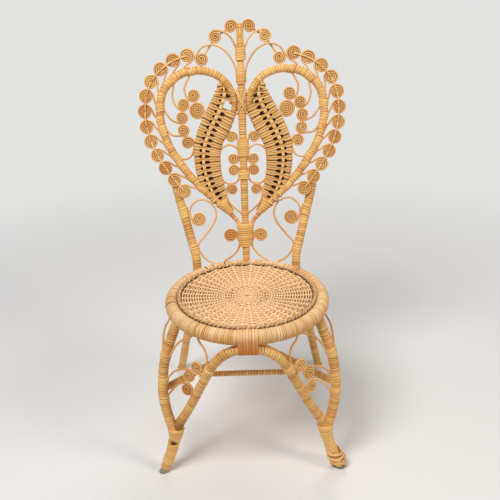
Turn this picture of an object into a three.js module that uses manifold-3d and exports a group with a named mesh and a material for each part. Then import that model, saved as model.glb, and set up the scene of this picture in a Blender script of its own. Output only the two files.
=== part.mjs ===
// Wicker chair with a round woven seat and a heart-shaped back of bent poles and reed scrolls.
// Millimetres, +Z up. The chair faces -Y and stands on z = 0; right is +X.
import * as THREE from 'three';
import Module from 'manifold-3d';
import { mergeVertices } from 'three/addons/utils/BufferGeometryUtils.js';

const wasm = await Module();
wasm.setup();

// Fits
const clearance = 0.3; // gap that each piece keeps to the piece it is seated on
const wrap = 1.6; // thickness of the cane wound in a lashing
const nestle = 0.5; // how far a reed is let into the pole that it runs beside

// Seat
const seatHeight = 340; // floor to the middle of the ring's tube
const ringRadius = 157;
const ringTube = 16;
const panelThickness = 5;
const panelSink = 6; // underside of the panel above the middle of the ring
const panelDish = 4; // how far the middle of the panel lies below its edge
const panelSpokes = 40;
const spokeRidge = 1.6; // height of a spoke above the weave beside it
const borderRoll = 4.5; // height of the braided border above the panel's edge

// Front legs and arch
const legRadius = 10.5;
const legAngle = 28; // degrees round the ring from the side towards the front
const legSplay = 60; // how far the toes stand forward of the leg's top
const archRadius = 9.75;
const archFootRadius = 7;
const footLashTop = 98;
const footLashBottom = 22;
const seatLashWidth = 40;

// Posts, rear legs and stretchers
const postRadius = 10;
const postAngle = 52; // degrees round the ring from the side towards the back
const rearFootX = 182;
const rearFootY = 249;
const postTop = 197; // height of the post's end on the back
const stretcherRadius = 7.5;
const upperStretcherHeight = 190;
const stretcherRise = 22; // how far the upper stretcher climbs to the rear leg
const crossbarRadius = 6.2;
const crossbarDrop = 102; // below the middle of the ring
const crossbarHalf = 98;

// Back
const leanDegrees = 11;
const poleRadius = 8.3;
const poleTipRadius = 3.5;
const poleTaperStart = 400;
const poleHeight = 537;
const bowRadius = 9;
const bowWaistRadius = 7; // where the bow passes the centre pole
const leafRibRadius = 6; // the bow's own end, as the leaf's inner rib
const bowFootRadius = 3.6;
const bowFootHeight = 70;
const outerRibRadius = 5.25;
const spineRadius = 4;
const caneWidth = 9;
const caneThickness = 3;
const canePitch = 13.5;
const caneGap = 0.8; // from a cane bar's end to the rib it is wound on

// Reed scrolls
const reedRadius = 1.8;
const reedSides = 4;
const pinRadius = 1.2;
const scrollPitch = 4.6; // from turn to turn
const scrollTurns = 1.43;
const stepsPerTurn = 7;
const smallScroll = 12.4; // radius of a scroll's outer end
const mediumScroll = 13.6;
const largeScroll = 15.5;
const postScroll = 16.4;
const leafScroll = 17.8;
const borderCount = 12;
const borderOffset = 33; // from the middle of the bow to the middle of a border scroll

const poleSides = 8;
const ringSteps = 36;

// Colours
const poleCane = new THREE.MeshStandardMaterial({ color: 0xe0b070, roughness: 0.55, metalness: 0 });
const wovenCane = new THREE.MeshStandardMaterial({ color: 0xe4bd84, roughness: 0.6, metalness: 0 });
const lashCane = new THREE.MeshStandardMaterial({ color: 0xe6b46c, roughness: 0.5, metalness: 0 });
const reedCane = new THREE.MeshStandardMaterial({ color: 0xd99a5c, roughness: 0.6, metalness: 0 });

const chair = new THREE.Group();
const placed = [];

// Solids
function solid(geometry) {
  geometry.deleteAttribute('normal');
  geometry.deleteAttribute('uv');
  const merged = mergeVertices(geometry);
  const corners = [];
  for (let i = 0; i < merged.index.count; i += 3) {
    const [a, b, c] = [0, 1, 2].map((k) => merged.index.getX(i + k));
    if (a !== b && b !== c && c !== a) corners.push(a, b, c);
  }
  return new wasm.Manifold(
    new wasm.Mesh({
      numProp: 3,
      vertProperties: new Float32Array(merged.attributes.position.array),
      triVerts: new Uint32Array(corners),
    }),
  );
}

function mainBody(shape) {
  return shape.decompose().reduce((largest, body) => (body.volume() > largest.volume() ? body : largest));
}

function near(shape, other) {
  const a = shape.boundingBox();
  const b = other.boundingBox();
  return [0, 1, 2].every((k) => a.min[k] < b.max[k] && b.min[k] < a.max[k]);
}

// Cuts the new piece clear of every piece placed before it, and adds it to the chair.
function place(name, material, build) {
  let body = build(0);
  for (const earlier of placed) {
    if (near(body, earlier)) body = body.subtract(earlier);
  }
  const surface = mainBody(body).getMesh();
  const geometry = new THREE.BufferGeometry();
  geometry.setAttribute('position', new THREE.BufferAttribute(new Float32Array(surface.vertProperties), 3));
  geometry.setIndex(new THREE.BufferAttribute(new Uint32Array(surface.triVerts), 1));
  geometry.computeVertexNormals();
  const mesh = new THREE.Mesh(geometry, material);
  mesh.name = name;
  chair.add(mesh);
  placed.push(build(clearance));
}

function join(shapes) {
  return shapes.reduce((whole, shape) => whole.add(shape));
}

// A closed tube along points. A radius is one number, or a pair: along `upright` and across it.
function tube(points, radii, sides, grow = 0, upright = new THREE.Vector3(0, 0, 1)) {
  const last = points.length - 1;
  const line = points.map((point) => point.clone());
  line[0].addScaledVector(points[0].clone().sub(points[1]).normalize(), grow);
  line[last].addScaledVector(points[last].clone().sub(points[last - 1]).normalize(), grow);
  const normal = upright.clone();
  const positions = [];
  const index = [];
  line.forEach((point, i) => {
    const tangent = line[Math.min(i + 1, last)].clone().sub(line[Math.max(i - 1, 0)]).normalize();
    if (Math.abs(normal.dot(tangent)) > 0.98) normal.set(0.3, 1, 0.2).normalize();
    normal.addScaledVector(tangent, -normal.dot(tangent)).normalize();
    const across = tangent.clone().cross(normal);
    const radius = Array.isArray(radii) ? radii[i] : radii;
    const [tall, wide] = Array.isArray(radius) ? radius : [radius, radius];
    for (let k = 0; k < sides; k++) {
      const turn = (2 * Math.PI * k) / sides;
      const corner = point.clone();
      corner.addScaledVector(normal, (tall + grow) * Math.cos(turn));
      corner.addScaledVector(across, (wide + grow) * Math.sin(turn));
      positions.push(corner.x, corner.y, corner.z);
    }
  });
  for (let i = 0; i < last; i++) {
    for (let k = 0; k < sides; k++) {
      const a = i * sides + k;
      const b = i * sides + ((k + 1) % sides);
      index.push(a, b, b + sides, a, b + sides, a + sides);
    }
  }
  for (let k = 1; k < sides - 1; k++) {
    index.push(0, k + 1, k);
    index.push(last * sides, last * sides + k, last * sides + k + 1);
  }
  const geometry = new THREE.BufferGeometry();
  geometry.setAttribute('position', new THREE.Float32BufferAttribute(positions, 3));
  geometry.setIndex(index);
  return solid(geometry);
}

// A smooth line through control points, with the same number of steps in every span.
function bend(controls, steps) {
  const curve = new THREE.CatmullRomCurve3(controls, false, 'centripetal');
  const last = (controls.length - 1) * steps;
  return Array.from({ length: last + 1 }, (_, i) => curve.getPoint(i / last));
}

function spread(values, steps) {
  const last = (values.length - 1) * steps;
  return Array.from({ length: last + 1 }, (_, i) => {
    const span = Math.min(Math.floor(i / steps), values.length - 2);
    return THREE.MathUtils.lerp(values[span], values[span + 1], i / steps - span);
  });
}

// Points on a flat sheet: u across, v along, and an optional distance out of it.
function sheet(origin, across, out) {
  const unitOut = out.clone().normalize();
  const unitAcross = across.clone().normalize();
  return { origin, across: unitAcross, along: unitOut.clone().cross(unitAcross), out: unitOut };
}

function onSheet(plane, side, points) {
  return points.map(([u, v, out = 0]) => {
    const point = plane.origin.clone();
    point.addScaledVector(plane.across, u).addScaledVector(plane.along, v).addScaledVector(plane.out, out);
    point.x *= side;
    return point;
  });
}

function toSheet(plane, point) {
  const offset = point.clone().sub(plane.origin);
  return [offset.dot(plane.across), offset.dot(plane.along), offset.dot(plane.out)];
}

function ringPoint(degrees, radius = ringRadius, height = seatHeight) {
  const angle = THREE.MathUtils.degToRad(degrees);
  return new THREE.Vector3(radius * Math.cos(angle), radius * Math.sin(angle), height);
}

function mirrored(points, side) {
  return points.map((point) => new THREE.Vector3(point.x * side, point.y, point.z));
}

const lean = THREE.MathUtils.degToRad(leanDegrees);
const back = sheet(
  new THREE.Vector3(0, ringRadius, seatHeight),
  new THREE.Vector3(1, 0, 0),
  new THREE.Vector3(0, -Math.cos(lean), Math.sin(lean)),
);

// The flank is the plane that the reeds between a front leg and the arch lie in, from under the leg's top.
const flankDrop = 26;
const flankFront = 20; // how far it lies in front of the leg's top
const flankTurn = 0.53;
const flankTilt = 0.2;
const legTop = ringPoint(-legAngle);
const flank = sheet(
  new THREE.Vector3(legTop.x, legTop.y - flankFront, seatHeight - flankDrop),
  new THREE.Vector3(1, flankTurn, 0),
  new THREE.Vector3(flankTurn, -1, flankTilt),
);

const sides = [
  [-1, 'left'],
  [1, 'right'],
];

const floorSize = 1200;
const floorDepth = 60;
const floor = solid(new THREE.BoxGeometry(floorSize, floorSize, floorDepth).translate(0, 0, -floorDepth / 2));

// Seat ring and woven panel
place('seat_ring', poleCane, (grow) =>
  solid(new THREE.TorusGeometry(ringRadius, ringTube + grow, poleSides, ringSteps).translate(0, 0, seatHeight)),
);

const panelBase = seatHeight + panelSink;
const panelTop = panelBase + panelThickness;
const borderRadius = ringRadius - ringTube + 1; // crest of the braided border
const weaveRadius = borderRadius - 11;
const borderTop = panelTop + borderRoll;
// The ring's inner flank at a height, less the gap that the panel keeps to it
function ringFlank(height) {
  const flat = ringRadius - ringTube + (height - seatHeight) * Math.tan(Math.PI / poleSides);
  return flat * Math.cos(Math.PI / ringSteps) - clearance;
}
place('seat_panel', wovenCane, (grow) => {
  const profile = [
    [0, panelBase - panelDish - grow],
    [ringFlank(panelBase) + grow, panelBase - grow],
    [ringFlank(panelTop) + grow, panelTop],
    [borderRadius, borderTop + grow],
    [weaveRadius, panelTop + grow],
    [0, panelTop - panelDish + grow],
  ];
  const outline = profile.map(([r, z]) => new THREE.Vector2(r, z));
  const disc = new THREE.LatheGeometry(outline, 2 * panelSpokes).rotateX(Math.PI / 2);
  const corners = disc.attributes.position;
  const weaveRow = 4; // the profile's point at the outside of the weave
  for (let i = weaveRow; i < corners.count; i += 2 * profile.length) {
    corners.setZ(i, corners.getZ(i) - spokeRidge);
  }
  return solid(disc);
});

// Front legs: each point is how far the leg stands out past its top, and its height
const legBend = [
  [0, seatHeight],
  [13, 305],
  [29, 262],
  [38, 212],
  [39, 168],
  [31, 124],
  [22, 88],
  [27, 54],
  [39, 22],
  [50, -6],
];
const legLine = bend(
  legBend.map(([outward, z]) => {
    const forward = legSplay * (1 - z / seatHeight);
    return new THREE.Vector3(legTop.x + outward, legTop.y - forward, z);
  }),
  2,
);
for (const [side, name] of sides) {
  place(`front_leg_${name}`, poleCane, (grow) =>
    tube(mirrored(legLine, side), legRadius, poleSides, grow).subtract(floor),
  );
}

// Back posts: from the rear foot, past the outside of the ring, to the back of the border scrolls
const postGap = reedRadius + clearance + postRadius;
const postAtRing = ringPoint(postAngle, ringRadius + ringTube + postRadius - nestle);
const rearFoot = new THREE.Vector3(rearFootX, rearFootY, 0);
const postLine = bend(
  [
    rearFoot.clone().addScaledVector(postAtRing.clone().sub(rearFoot), -0.03),
    rearFoot.clone().lerp(postAtRing, 0.5),
    postAtRing.clone().lerp(rearFoot, 0.1),
    postAtRing.clone().add(new THREE.Vector3(2, 4, 18)),
    ...onSheet(back, 1, [
      [131, 90, 0],
      [148, postTop - 44, -postGap],
      [157, postTop, -postGap],
    ]),
  ],
  2,
);
for (const [side, name] of sides) {
  place(`back_post_${name}`, poleCane, (grow) =>
    tube(mirrored(postLine, side), postRadius, poleSides, grow).subtract(floor),
  );
}

// Centre pole of the back
const poleStops = [
  [0, poleRadius],
  [poleTaperStart, poleRadius],
  [poleHeight - 67, 6.8],
  [poleHeight, poleTipRadius],
];
function poleRadiusAt(height) {
  if (height > poleHeight) return poleTipRadius;
  const upper = poleStops.findIndex(([stop]) => stop >= height);
  const [from, thick] = poleStops[Math.max(upper - 1, 0)];
  const [to, thin] = poleStops[upper];
  return upper === 0 ? thick : THREE.MathUtils.mapLinear(height, from, to, thick, thin);
}
place('centre_pole', poleCane, (grow) =>
  tube(
    onSheet(back, 1, poleStops.map(([height]) => [0, height])),
    poleStops.map(([, radius]) => radius),
    poleSides,
    grow,
  ),
);

// Heart bows: up the outside, over the lobe, down beside the pole and on as the leaf's inner rib
const bowWaist = poleRadius + bowWaistRadius + clearance;
const bowStops = [
  [poleRadius + bowFootRadius + clearance, bowFootHeight, bowFootRadius],
  [poleRadius + 5.3, 98, 4.6],
  [50, 141, 6.3],
  [91, 178, 8],
  [134, 230, bowRadius],
  [169, 291, bowRadius],
  [181, 352, bowRadius],
  [168, 404, bowRadius],
  [127, 436, bowRadius],
  [80, 440, bowRadius],
  [40, 421, 8.4],
  [bowWaist, 376, bowWaistRadius],
  [31, 321, leafRibRadius],
  [54, 278, leafRibRadius],
  [58, 229, leafRibRadius],
  [50, 186, 5.2],
  [38.5, 142, 3.4],
];
const crownLashTop = Math.max(...bowStops.map(([, height]) => height)); // level with the heart's top
const bowSteps = 2;
const bowControls = bowStops.map(([u, v]) => new THREE.Vector3(u, v, 0));
const bowLine = bend(bowControls, bowSteps);
const bowRadii = spread(bowStops.map(([, , radius]) => radius), bowSteps);
for (const [side, name] of sides) {
  place(`heart_bow_${name}`, poleCane, (grow) =>
    tube(onSheet(back, side, bowLine), bowRadii, poleSides, grow),
  );
}

// Front arch, from one foot over the front of the ring to the other
const archApex = seatHeight - ringTube - archRadius - clearance;
const archHalf = [
  [0, -ringRadius, archApex],
  [0.1731 * legTop.x, -ringRadius + 1, archApex - 3],
  [0.3463 * legTop.x, -ringRadius + 3, archApex - 15],
  [0.4905 * legTop.x, -ringRadius + 9, archApex - 39],
  [0.6781 * legTop.x, -ringRadius + 19, archApex - 92],
  [legTop.x - 15.6, -ringRadius + 31, archApex - 156],
  [legTop.x + 12.4, -ringRadius + 40, footLashTop + 6],
  [legTop.x + 20.4, -ringRadius + 38, footLashTop - 20],
].map(([x, y, z]) => new THREE.Vector3(x, y, z));
const archSteps = 2;
const archLine = bend([...mirrored(archHalf.slice(1), -1).reverse(), ...archHalf], archSteps);
const archSpans = archHalf.length - 1;
const archRadii = spread(
  [archFootRadius, ...Array(2 * archSpans - 1).fill(archRadius), archFootRadius],
  archSteps,
);
place('front_arch', poleCane, (grow) => tube(archLine, archRadii, poleSides, grow));

// Outer leaf ribs, from under the heart bow back to its lower run
const outerRibLine = bend(
  [
    [41, 421],
    [53, 391],
    [80, 341],
    [100, 293],
    [104, 256],
    [99, 212],
    [86, 174],
  ].map(([u, v]) => new THREE.Vector3(u, v, 0)),
  2,
);
const ribSides = 6;
for (const [side, name] of sides) {
  place(`leaf_rib_${name}`, poleCane, (grow) =>
    tube(onSheet(back, side, outerRibLine), outerRibRadius, ribSides, grow),
  );
}

// Crossed stretchers and the crossbar behind the arch
function pointAtHeight(line, height) {
  const next = line.findIndex((point, i) => i > 0 && (line[i - 1].z - height) * (point.z - height) <= 0);
  const [a, b] = [line[next - 1], line[next]];
  return a.clone().lerp(b, (height - a.z) / (b.z - a.z));
}
const stretcherGap = 2 * stretcherRadius + clearance;
const upperMiddle = upperStretcherHeight + 0.55 * stretcherRise;
const stretcherEnds = [
  ['stretcher_upper', 1, upperStretcherHeight, upperStretcherHeight + stretcherRise],
  ['stretcher_lower', -1, upperMiddle - stretcherGap - nestle, upperMiddle - stretcherGap - nestle],
];
for (const [name, side, frontHeight, rearHeight] of stretcherEnds) {
  const front = pointAtHeight(mirrored(legLine, side), frontHeight);
  const rear = pointAtHeight(mirrored(postLine, -side), rearHeight);
  place(name, poleCane, (grow) => tube([front, rear], stretcherRadius, poleSides, grow));
}

const crossbarHeight = seatHeight - crossbarDrop;
const archAtBar = pointAtHeight(archLine, crossbarHeight);
const crossbarY = archAtBar.y + archRadius + crossbarRadius - nestle;
place('front_crossbar', poleCane, (grow) =>
  tube(
    [
      new THREE.Vector3(-crossbarHalf, crossbarY, crossbarHeight),
      new THREE.Vector3(crossbarHalf, crossbarY, crossbarHeight),
    ],
    crossbarRadius,
    poleSides,
    grow,
  ),
);

// Woven leaves: cane bars from rib to rib over a braided spine
const spineLine = bend(
  [
    [41, 419],
    [37, 388],
    [48, 355],
    [71, 312],
    [86, 268],
    [86, 229],
    [76, 189],
    [62, 158],
    [56, 147],
  ].map(([u, v]) => new THREE.Vector3(u, v, 0)),
  2,
);
const spineCurve = new THREE.CatmullRomCurve3(spineLine);
const leafMargin = 26; // bare spine at each end
const caneCount = Math.floor((spineCurve.getLength() - 2 * leafMargin) / canePitch);

function crossing(line, from, direction) {
  for (let i = 1; i < line.length; i++) {
    const edge = line[i].clone().sub(line[i - 1]);
    const gap = line[i - 1].clone().sub(from);
    const turn = direction.x * edge.y - direction.y * edge.x;
    const reach = (gap.x * edge.y - gap.y * edge.x) / turn;
    const share = (gap.x * direction.y - gap.y * direction.x) / turn;
    if (reach > 0 && share >= 0 && share <= 1) return reach;
  }
  return 0;
}

function caneBar(side, start, end, grow) {
  const [from, to] = onSheet(back, side, [start, end]);
  const along = to.clone().sub(from).normalize();
  const frame = new THREE.Matrix4().makeBasis(along, back.out.clone().cross(along), back.out);
  const size = [from.distanceTo(to), caneWidth, caneThickness].map((edge) => edge + 2 * grow);
  return solid(new THREE.BoxGeometry(...size).applyMatrix4(frame.setPosition(from.lerp(to, 0.5))));
}

const innerRibLine = bowLine.slice(11 * bowSteps);
for (const [side, name] of sides) {
  place(`leaf_weave_${name}`, wovenCane, (grow) => {
    const pieces = [tube(onSheet(back, side, spineLine), spineRadius, reedSides, grow)];
    for (let i = 0; i <= caneCount; i++) {
      const share = (leafMargin + i * canePitch) / spineCurve.getLength();
      const middle = spineCurve.getPointAt(share);
      const tangent = spineCurve.getTangentAt(share);
      const inward = new THREE.Vector3(tangent.y, -tangent.x, 0);
      const toInner = crossing(innerRibLine, middle, inward) - leafRibRadius - caneGap;
      const toOuter = crossing(outerRibLine, middle, inward.clone().negate()) - outerRibRadius - caneGap;
      const start = middle.clone().addScaledVector(inward, toInner);
      pieces.push(caneBar(side, start, middle.addScaledVector(inward, -toOuter), grow));
    }
    return join(pieces);
  });
}

// Reed scrolls. A reed follows its stem, then winds inward from the angle `from` with the given spin.
function windings({ centre: [u, v, out = 0], radius, from, spin }) {
  const points = [];
  for (let step = 0; step <= scrollTurns * stepsPerTurn; step++) {
    const angle = THREE.MathUtils.degToRad(from) + (spin * step * 2 * Math.PI) / stepsPerTurn;
    const reach = radius - (scrollPitch * step) / stepsPerTurn;
    points.push([u + reach * Math.cos(angle), v + reach * Math.sin(angle), out]);
  }
  return points;
}

function reed(plane, side, scroll, grow) {
  const line = onSheet(plane, side, [...scroll.stem, ...windings(scroll)]);
  return tube(line, reedRadius, reedSides, grow, plane.out);
}

// A pin from the outer turn of one scroll to the outer turn of the next
function pin(plane, side, one, two, grow) {
  const [from, to] = [one, two].map((scroll) => new THREE.Vector3(...scroll.centre));
  const way = to.clone().sub(from).normalize();
  const turns = (scroll) => windings(scroll).map((point) => new THREE.Vector3(...point));
  const [start, end] = [turns(one), turns(two)];
  const reach = crossing(start, from, way);
  const rest = crossing(end, to, way.clone().negate());
  const ends = [from.addScaledVector(way, reach), to.addScaledVector(way, -rest)];
  return tube(onSheet(plane, side, ends), pinRadius, reedSides, grow, plane.out);
}

function pinnedReeds(plane, side, scrolls, grow) {
  const reeds = scrolls.map((scroll) => reed(plane, side, scroll, grow));
  const pins = scrolls.slice(1).map((scroll, i) => pin(plane, side, scrolls[i], scroll, grow));
  return join([...reeds, ...pins]);
}

// The least gap from one turn to the next, measured on the windings' points
function leastTurnGap() {
  const points = windings({ centre: [0, 0], radius: smallScroll, from: 0, spin: 1 });
  const flat = points.map(([u, v]) => new THREE.Vector2(u, v));
  const gaps = flat.flatMap((point, i) =>
    flat.slice(i + stepsPerTurn - 1).map((later) => point.distanceTo(later) - 2 * reedRadius),
  );
  return Math.min(...gaps);
}
console.log(`least gap between the turns of a scroll: ${leastTurnGap().toFixed(2)} mm`);

// Border scrolls, evenly spaced round the outside of the heart
const bowCurve = new THREE.CatmullRomCurve3(bowControls, false, 'centripetal');
const borderFrom = 8.35; // spans of the bow, from its foot
const borderTo = 3.42;
const borderSamples = 40;
const borderCurve = new THREE.CatmullRomCurve3(
  Array.from({ length: borderSamples + 1 }, (_, i) => {
    const share = THREE.MathUtils.lerp(borderFrom, borderTo, i / borderSamples) / (bowStops.length - 1);
    const tangent = bowCurve.getTangent(share);
    const outward = new THREE.Vector3(tangent.y, -tangent.x, 0);
    return bowCurve.getPoint(share).addScaledVector(outward, borderOffset);
  }),
);
const borderStart = 112; // degrees from the way down the border, towards the heart, where a turn begins
const borderStem = [
  [21, borderOffset],
  [12, 24],
  [3, 18],
];
const borderScrolls = Array.from({ length: borderCount }, (_, i) => {
  const share = i / (borderCount - 1);
  const middle = borderCurve.getPointAt(share);
  const down = borderCurve.getTangentAt(share);
  return {
    stem: borderStem.map(([ahead, inward]) => [
      middle.x + down.x * ahead + down.y * inward,
      middle.y + down.y * ahead - down.x * inward,
    ]),
    centre: [middle.x, middle.y],
    radius: largeScroll,
    from: THREE.MathUtils.radToDeg(Math.atan2(down.y, down.x)) - borderStart,
    spin: -1,
  };
});
for (const [side, name] of sides) {
  place(`border_scrolls_${name}`, reedCane, (grow) => pinnedReeds(back, side, borderScrolls, grow));
}

// Scrolls of the back that stand by themselves
function besidePole(height, turn = 0) {
  const reach = poleRadiusAt(height) + reedRadius - nestle;
  const angle = THREE.MathUtils.degToRad(turn);
  return [reach * Math.cos(angle), height, reach * Math.sin(angle)];
}
const backScrolls = {
  finial_scroll: {
    stem: [besidePole(crownLashTop + 24, 40), besidePole(poleHeight - 25, 30)],
    centre: [19.2, poleHeight - 7, 2.5],
    radius: mediumScroll,
    from: 184,
    spin: -1,
  },
  shoulder_scroll: {
    stem: [
      besidePole(crownLashTop + 24, -22),
      besidePole(crownLashTop + 40, -18),
      [12, crownLashTop + 52, -1],
      [21, crownLashTop + 69],
      [36, crownLashTop + 80],
    ],
    centre: [53, crownLashTop + 70],
    radius: mediumScroll,
    from: 104,
    spin: -1,
  },
  crown_scroll: {
    stem: [
      besidePole(crownLashTop - 26),
      besidePole(crownLashTop - 6),
      [17, crownLashTop + 18],
      [36, crownLashTop + 43],
      [60, crownLashTop + 54],
      [84, crownLashTop + 48],
    ],
    centre: [84, crownLashTop + 25],
    radius: mediumScroll,
    from: 30,
    spin: -1,
  },
  centre_reed_upper: {
    stem: [besidePole(268), besidePole(284)],
    centre: [25, 296],
    radius: smallScroll,
    from: 192,
    spin: -1,
  },
  centre_reed_arched: {
    stem: [[58, 258], [49, 270], [38, 278], [26, 279], [15, 272], besidePole(261)],
    centre: [besidePole(249)[0] + smallScroll, 249],
    radius: smallScroll,
    from: 180,
    spin: 1,
  },
  centre_reed_dipped: {
    stem: [[57, 210], [48, 200], [33, 192], [17, 196], besidePole(207)],
    centre: [besidePole(222)[0] + smallScroll, 222],
    radius: smallScroll,
    from: 180,
    spin: -1,
  },
  leaf_foot_reed: {
    stem: [[6, 122], [13, 129, 3], [24, 139, 7], [34, 151, 8], [39.5, 165, 5]],
    centre: [27.5, 179, 2],
    radius: smallScroll,
    from: -8,
    spin: 1,
  },
};
for (const [key, scroll] of Object.entries(backScrolls)) {
  for (const [side, name] of sides) {
    place(`${key}_${name}`, reedCane, (grow) => reed(back, side, scroll, grow));
  }
}

// Lobe scrolls inside the heart: a row of four below, and a pair above them
const lobeRow = [
  {
    stem: [[150, 422], [149, 406], [152, 390], [147, 370]],
    centre: [129, 370],
    radius: mediumScroll,
    from: -48,
    spin: -1,
  },
  {
    stem: [[181, 374], [171, 357], [157, 338]],
    centre: [134, 342],
    radius: mediumScroll,
    from: -62,
    spin: -1,
  },
  {
    stem: [[178, 331], [168, 316], [156, 304]],
    centre: [132, 314],
    radius: mediumScroll,
    from: -62,
    spin: -1,
  },
  {
    stem: [[156, 258], [144, 252], [130, 250], [118, 255], [111, 267]],
    centre: [122.5, 286],
    radius: mediumScroll,
    from: 188,
    spin: -1,
  },
];
const lobePair = [
  {
    stem: [[106, 440], [117, 422], [125, 404], [121, 386]],
    centre: [106, 389],
    radius: mediumScroll,
    from: -46,
    spin: -1,
  },
  { stem: [[75, 350], [83, 343]], centre: [98, 357], radius: leafScroll, from: -112, spin: 1 },
];
for (const [side, name] of sides) {
  place(`lobe_scroll_row_${name}`, reedCane, (grow) => pinnedReeds(back, side, lobeRow, grow));
  place(`lobe_scroll_pair_${name}`, reedCane, (grow) => pinnedReeds(back, side, lobePair, grow));
}

// Reeds that stand on the ring: the S scroll bound to the post, and the scroll beside the heart's base
function ringSeat(x) {
  const y = Math.sqrt(ringRadius ** 2 - x ** 2);
  return toSheet(back, new THREE.Vector3(x, y, seatHeight));
}
function besidePost(height) {
  const [u, , out] = toSheet(back, pointAtHeight(postLine, seatHeight + height * Math.cos(lean)));
  return [u - postRadius - reedRadius + nestle, height, out];
}
const postReedFoot = ringSeat(66);
const baseReedFoot = ringSeat(54);
const standingScrolls = {
  post_scroll: {
    stem: [
      postReedFoot,
      [postReedFoot[0] + 8, postReedFoot[1] + 15, postReedFoot[2]],
      [postReedFoot[0] + 20, postReedFoot[1] + 19, postReedFoot[2] - 5],
      [postReedFoot[0] + 31, postReedFoot[1] + 28, postReedFoot[2] - 5],
      besidePost(40),
      besidePost(54),
      [92, 76, 2],
      [72, 103],
      [66, 128],
      [78, 150],
      [101, 158],
      [121, 145],
      [126, 126],
    ],
    centre: [106, 114],
    radius: postScroll,
    from: -12,
    spin: -1,
  },
  base_scroll: {
    stem: [
      baseReedFoot,
      [baseReedFoot[0] - 6, baseReedFoot[1] + 17, baseReedFoot[2] - 4],
      [baseReedFoot[0] - 15, baseReedFoot[1] + 22, baseReedFoot[2] - 6],
      [baseReedFoot[0] - 29, baseReedFoot[1] + 33, baseReedFoot[2] - 8],
      [poleRadius + 8, 45],
      [poleRadius + reedRadius + 4.5, 57],
    ],
    centre: [34.5, 73],
    radius: largeScroll,
    from: 194,
    spin: -1,
  },
};
for (const [key, scroll] of Object.entries(standingScrolls)) {
  for (const [side, name] of sides) {
    place(`${key}_${name}`, reedCane, (grow) => reed(back, side, scroll, grow));
  }
}

// Reeds under the seat: three pinned scrolls, an arc from leg to ring, and a side arc
const scrollOut = 5;
const arcHeight = 236; // where the seat and side arcs leave the leg
const legOnFlank = (height) => toSheet(flank, pointAtHeight(legLine, height));
const ringOnFlank = (degrees) => toSheet(flank, ringPoint(-degrees));
const archScrolls = [
  {
    stem: [ringOnFlank(50), [-51, -4, 3], [-64, -17, 4], [-71, -34, 5], [-70.5, -51, 5], [-64, -66, 5]],
    centre: [-49.5, -59, scrollOut],
    radius: mediumScroll,
    from: -112,
    spin: 1,
  },
  {
    stem: [legOnFlank(196), [21, -103, 2], [4, -82, 4], [-12, -73, 5]],
    centre: [-30.5, -82, scrollOut],
    radius: mediumScroll,
    from: 78,
    spin: 1,
  },
  {
    stem: [legOnFlank(160), [19, -141, 2], [4, -119, 4], [-11, -103, 5]],
    centre: [-28, -112, scrollOut],
    radius: mediumScroll,
    from: 74,
    spin: 1,
  },
];
const seatArc = onSheet(flank, 1, [
  legOnFlank(arcHeight),
  [19, -56],
  [13, -43],
  [3, -25],
  [-13, -9],
  [-31, 1],
  ringOnFlank(52),
]);
const sideArc = [
  pointAtHeight(legLine, arcHeight),
  new THREE.Vector3(legTop.x + 35, legTop.y + 2, 282),
  new THREE.Vector3(legTop.x + 31, legTop.y + 16, 306),
  new THREE.Vector3(legTop.x + 21, legTop.y + 29, 322),
  ringPoint(-14),
];
for (const [side, name] of sides) {
  place(`arch_scrolls_${name}`, reedCane, (grow) => pinnedReeds(flank, side, archScrolls, grow));
  place(`seat_arc_${name}`, reedCane, (grow) => tube(mirrored(seatArc, side), reedRadius, reedSides, grow));
  place(`side_arc_${name}`, reedCane, (grow) => tube(mirrored(sideArc, side), reedRadius, reedSides, grow));
}

// Lashings on the centre pole: each row is a height and the half width there
const lashSides = 8;
function poleLashing(name, rows) {
  place(name, lashCane, (grow) =>
    tube(
      onSheet(back, 1, rows.map(([height]) => [0, height])),
      rows.map(([height, half]) => [half, poleRadiusAt(height) + wrap + reedRadius]),
      lashSides,
      grow,
      back.across,
    ),
  );
}
const reedSpan = poleRadius + 2 * reedRadius + wrap;
poleLashing('heart_base_lashing', [
  [47, reedSpan + 2],
  [66, reedSpan + 3.5],
  [100, poleRadius + 12],
]);
poleLashing('centre_lashing_lower', [
  [203, reedSpan],
  [217, reedSpan],
]);
poleLashing('centre_lashing_upper', [
  [254, reedSpan],
  [274, reedSpan],
  [290, reedSpan],
]);
poleLashing('crown_lashing', [
  [crownLashTop - 30, poleRadiusAt(crownLashTop - 30) + wrap],
  [crownLashTop, poleRadiusAt(crownLashTop) + 2 * reedRadius + wrap],
]);
poleLashing('shoulder_lashing', [
  [crownLashTop + 20, poleRadiusAt(crownLashTop + 20) + 2 * reedRadius + wrap],
  [crownLashTop + 46, poleRadiusAt(crownLashTop + 46) + 2 * reedRadius + wrap],
]);

// Crossed straps that tie both bows to the pole
const strapRise = 20;
const strapWidth = 5;
const strapLine = [
  [-bowWaist - 2, 372 + strapRise, bowWaistRadius],
  [-poleRadius / 2, 372 + strapRise / 4, poleRadius],
  [poleRadius / 2, 372 - strapRise / 4, poleRadius],
  [bowWaist + 2, 372 - strapRise, bowWaistRadius],
];
place('heart_crossing_lashing', lashCane, (grow) =>
  join(
    [-1, 1].map((side) =>
      tube(onSheet(back, side, strapLine), strapLine.map(() => [2 * wrap, strapWidth / 2]), 6, grow, back.out),
    ),
  ),
);

// Bindings where the leaf's ribs and spine run into the heart bow
const leafFoot = [
  [31, 125],
  [41, 137],
  [52, 152],
];
const leafFootHalf = [
  [bowRadius, 8],
  [10.5, 12],
  [10.5, 17],
];
for (const [side, name] of sides) {
  place(`leaf_foot_binding_${name}`, lashCane, (grow) =>
    tube(onSheet(back, side, leafFoot), leafFootHalf, lashSides, grow, back.out),
  );
}

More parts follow.
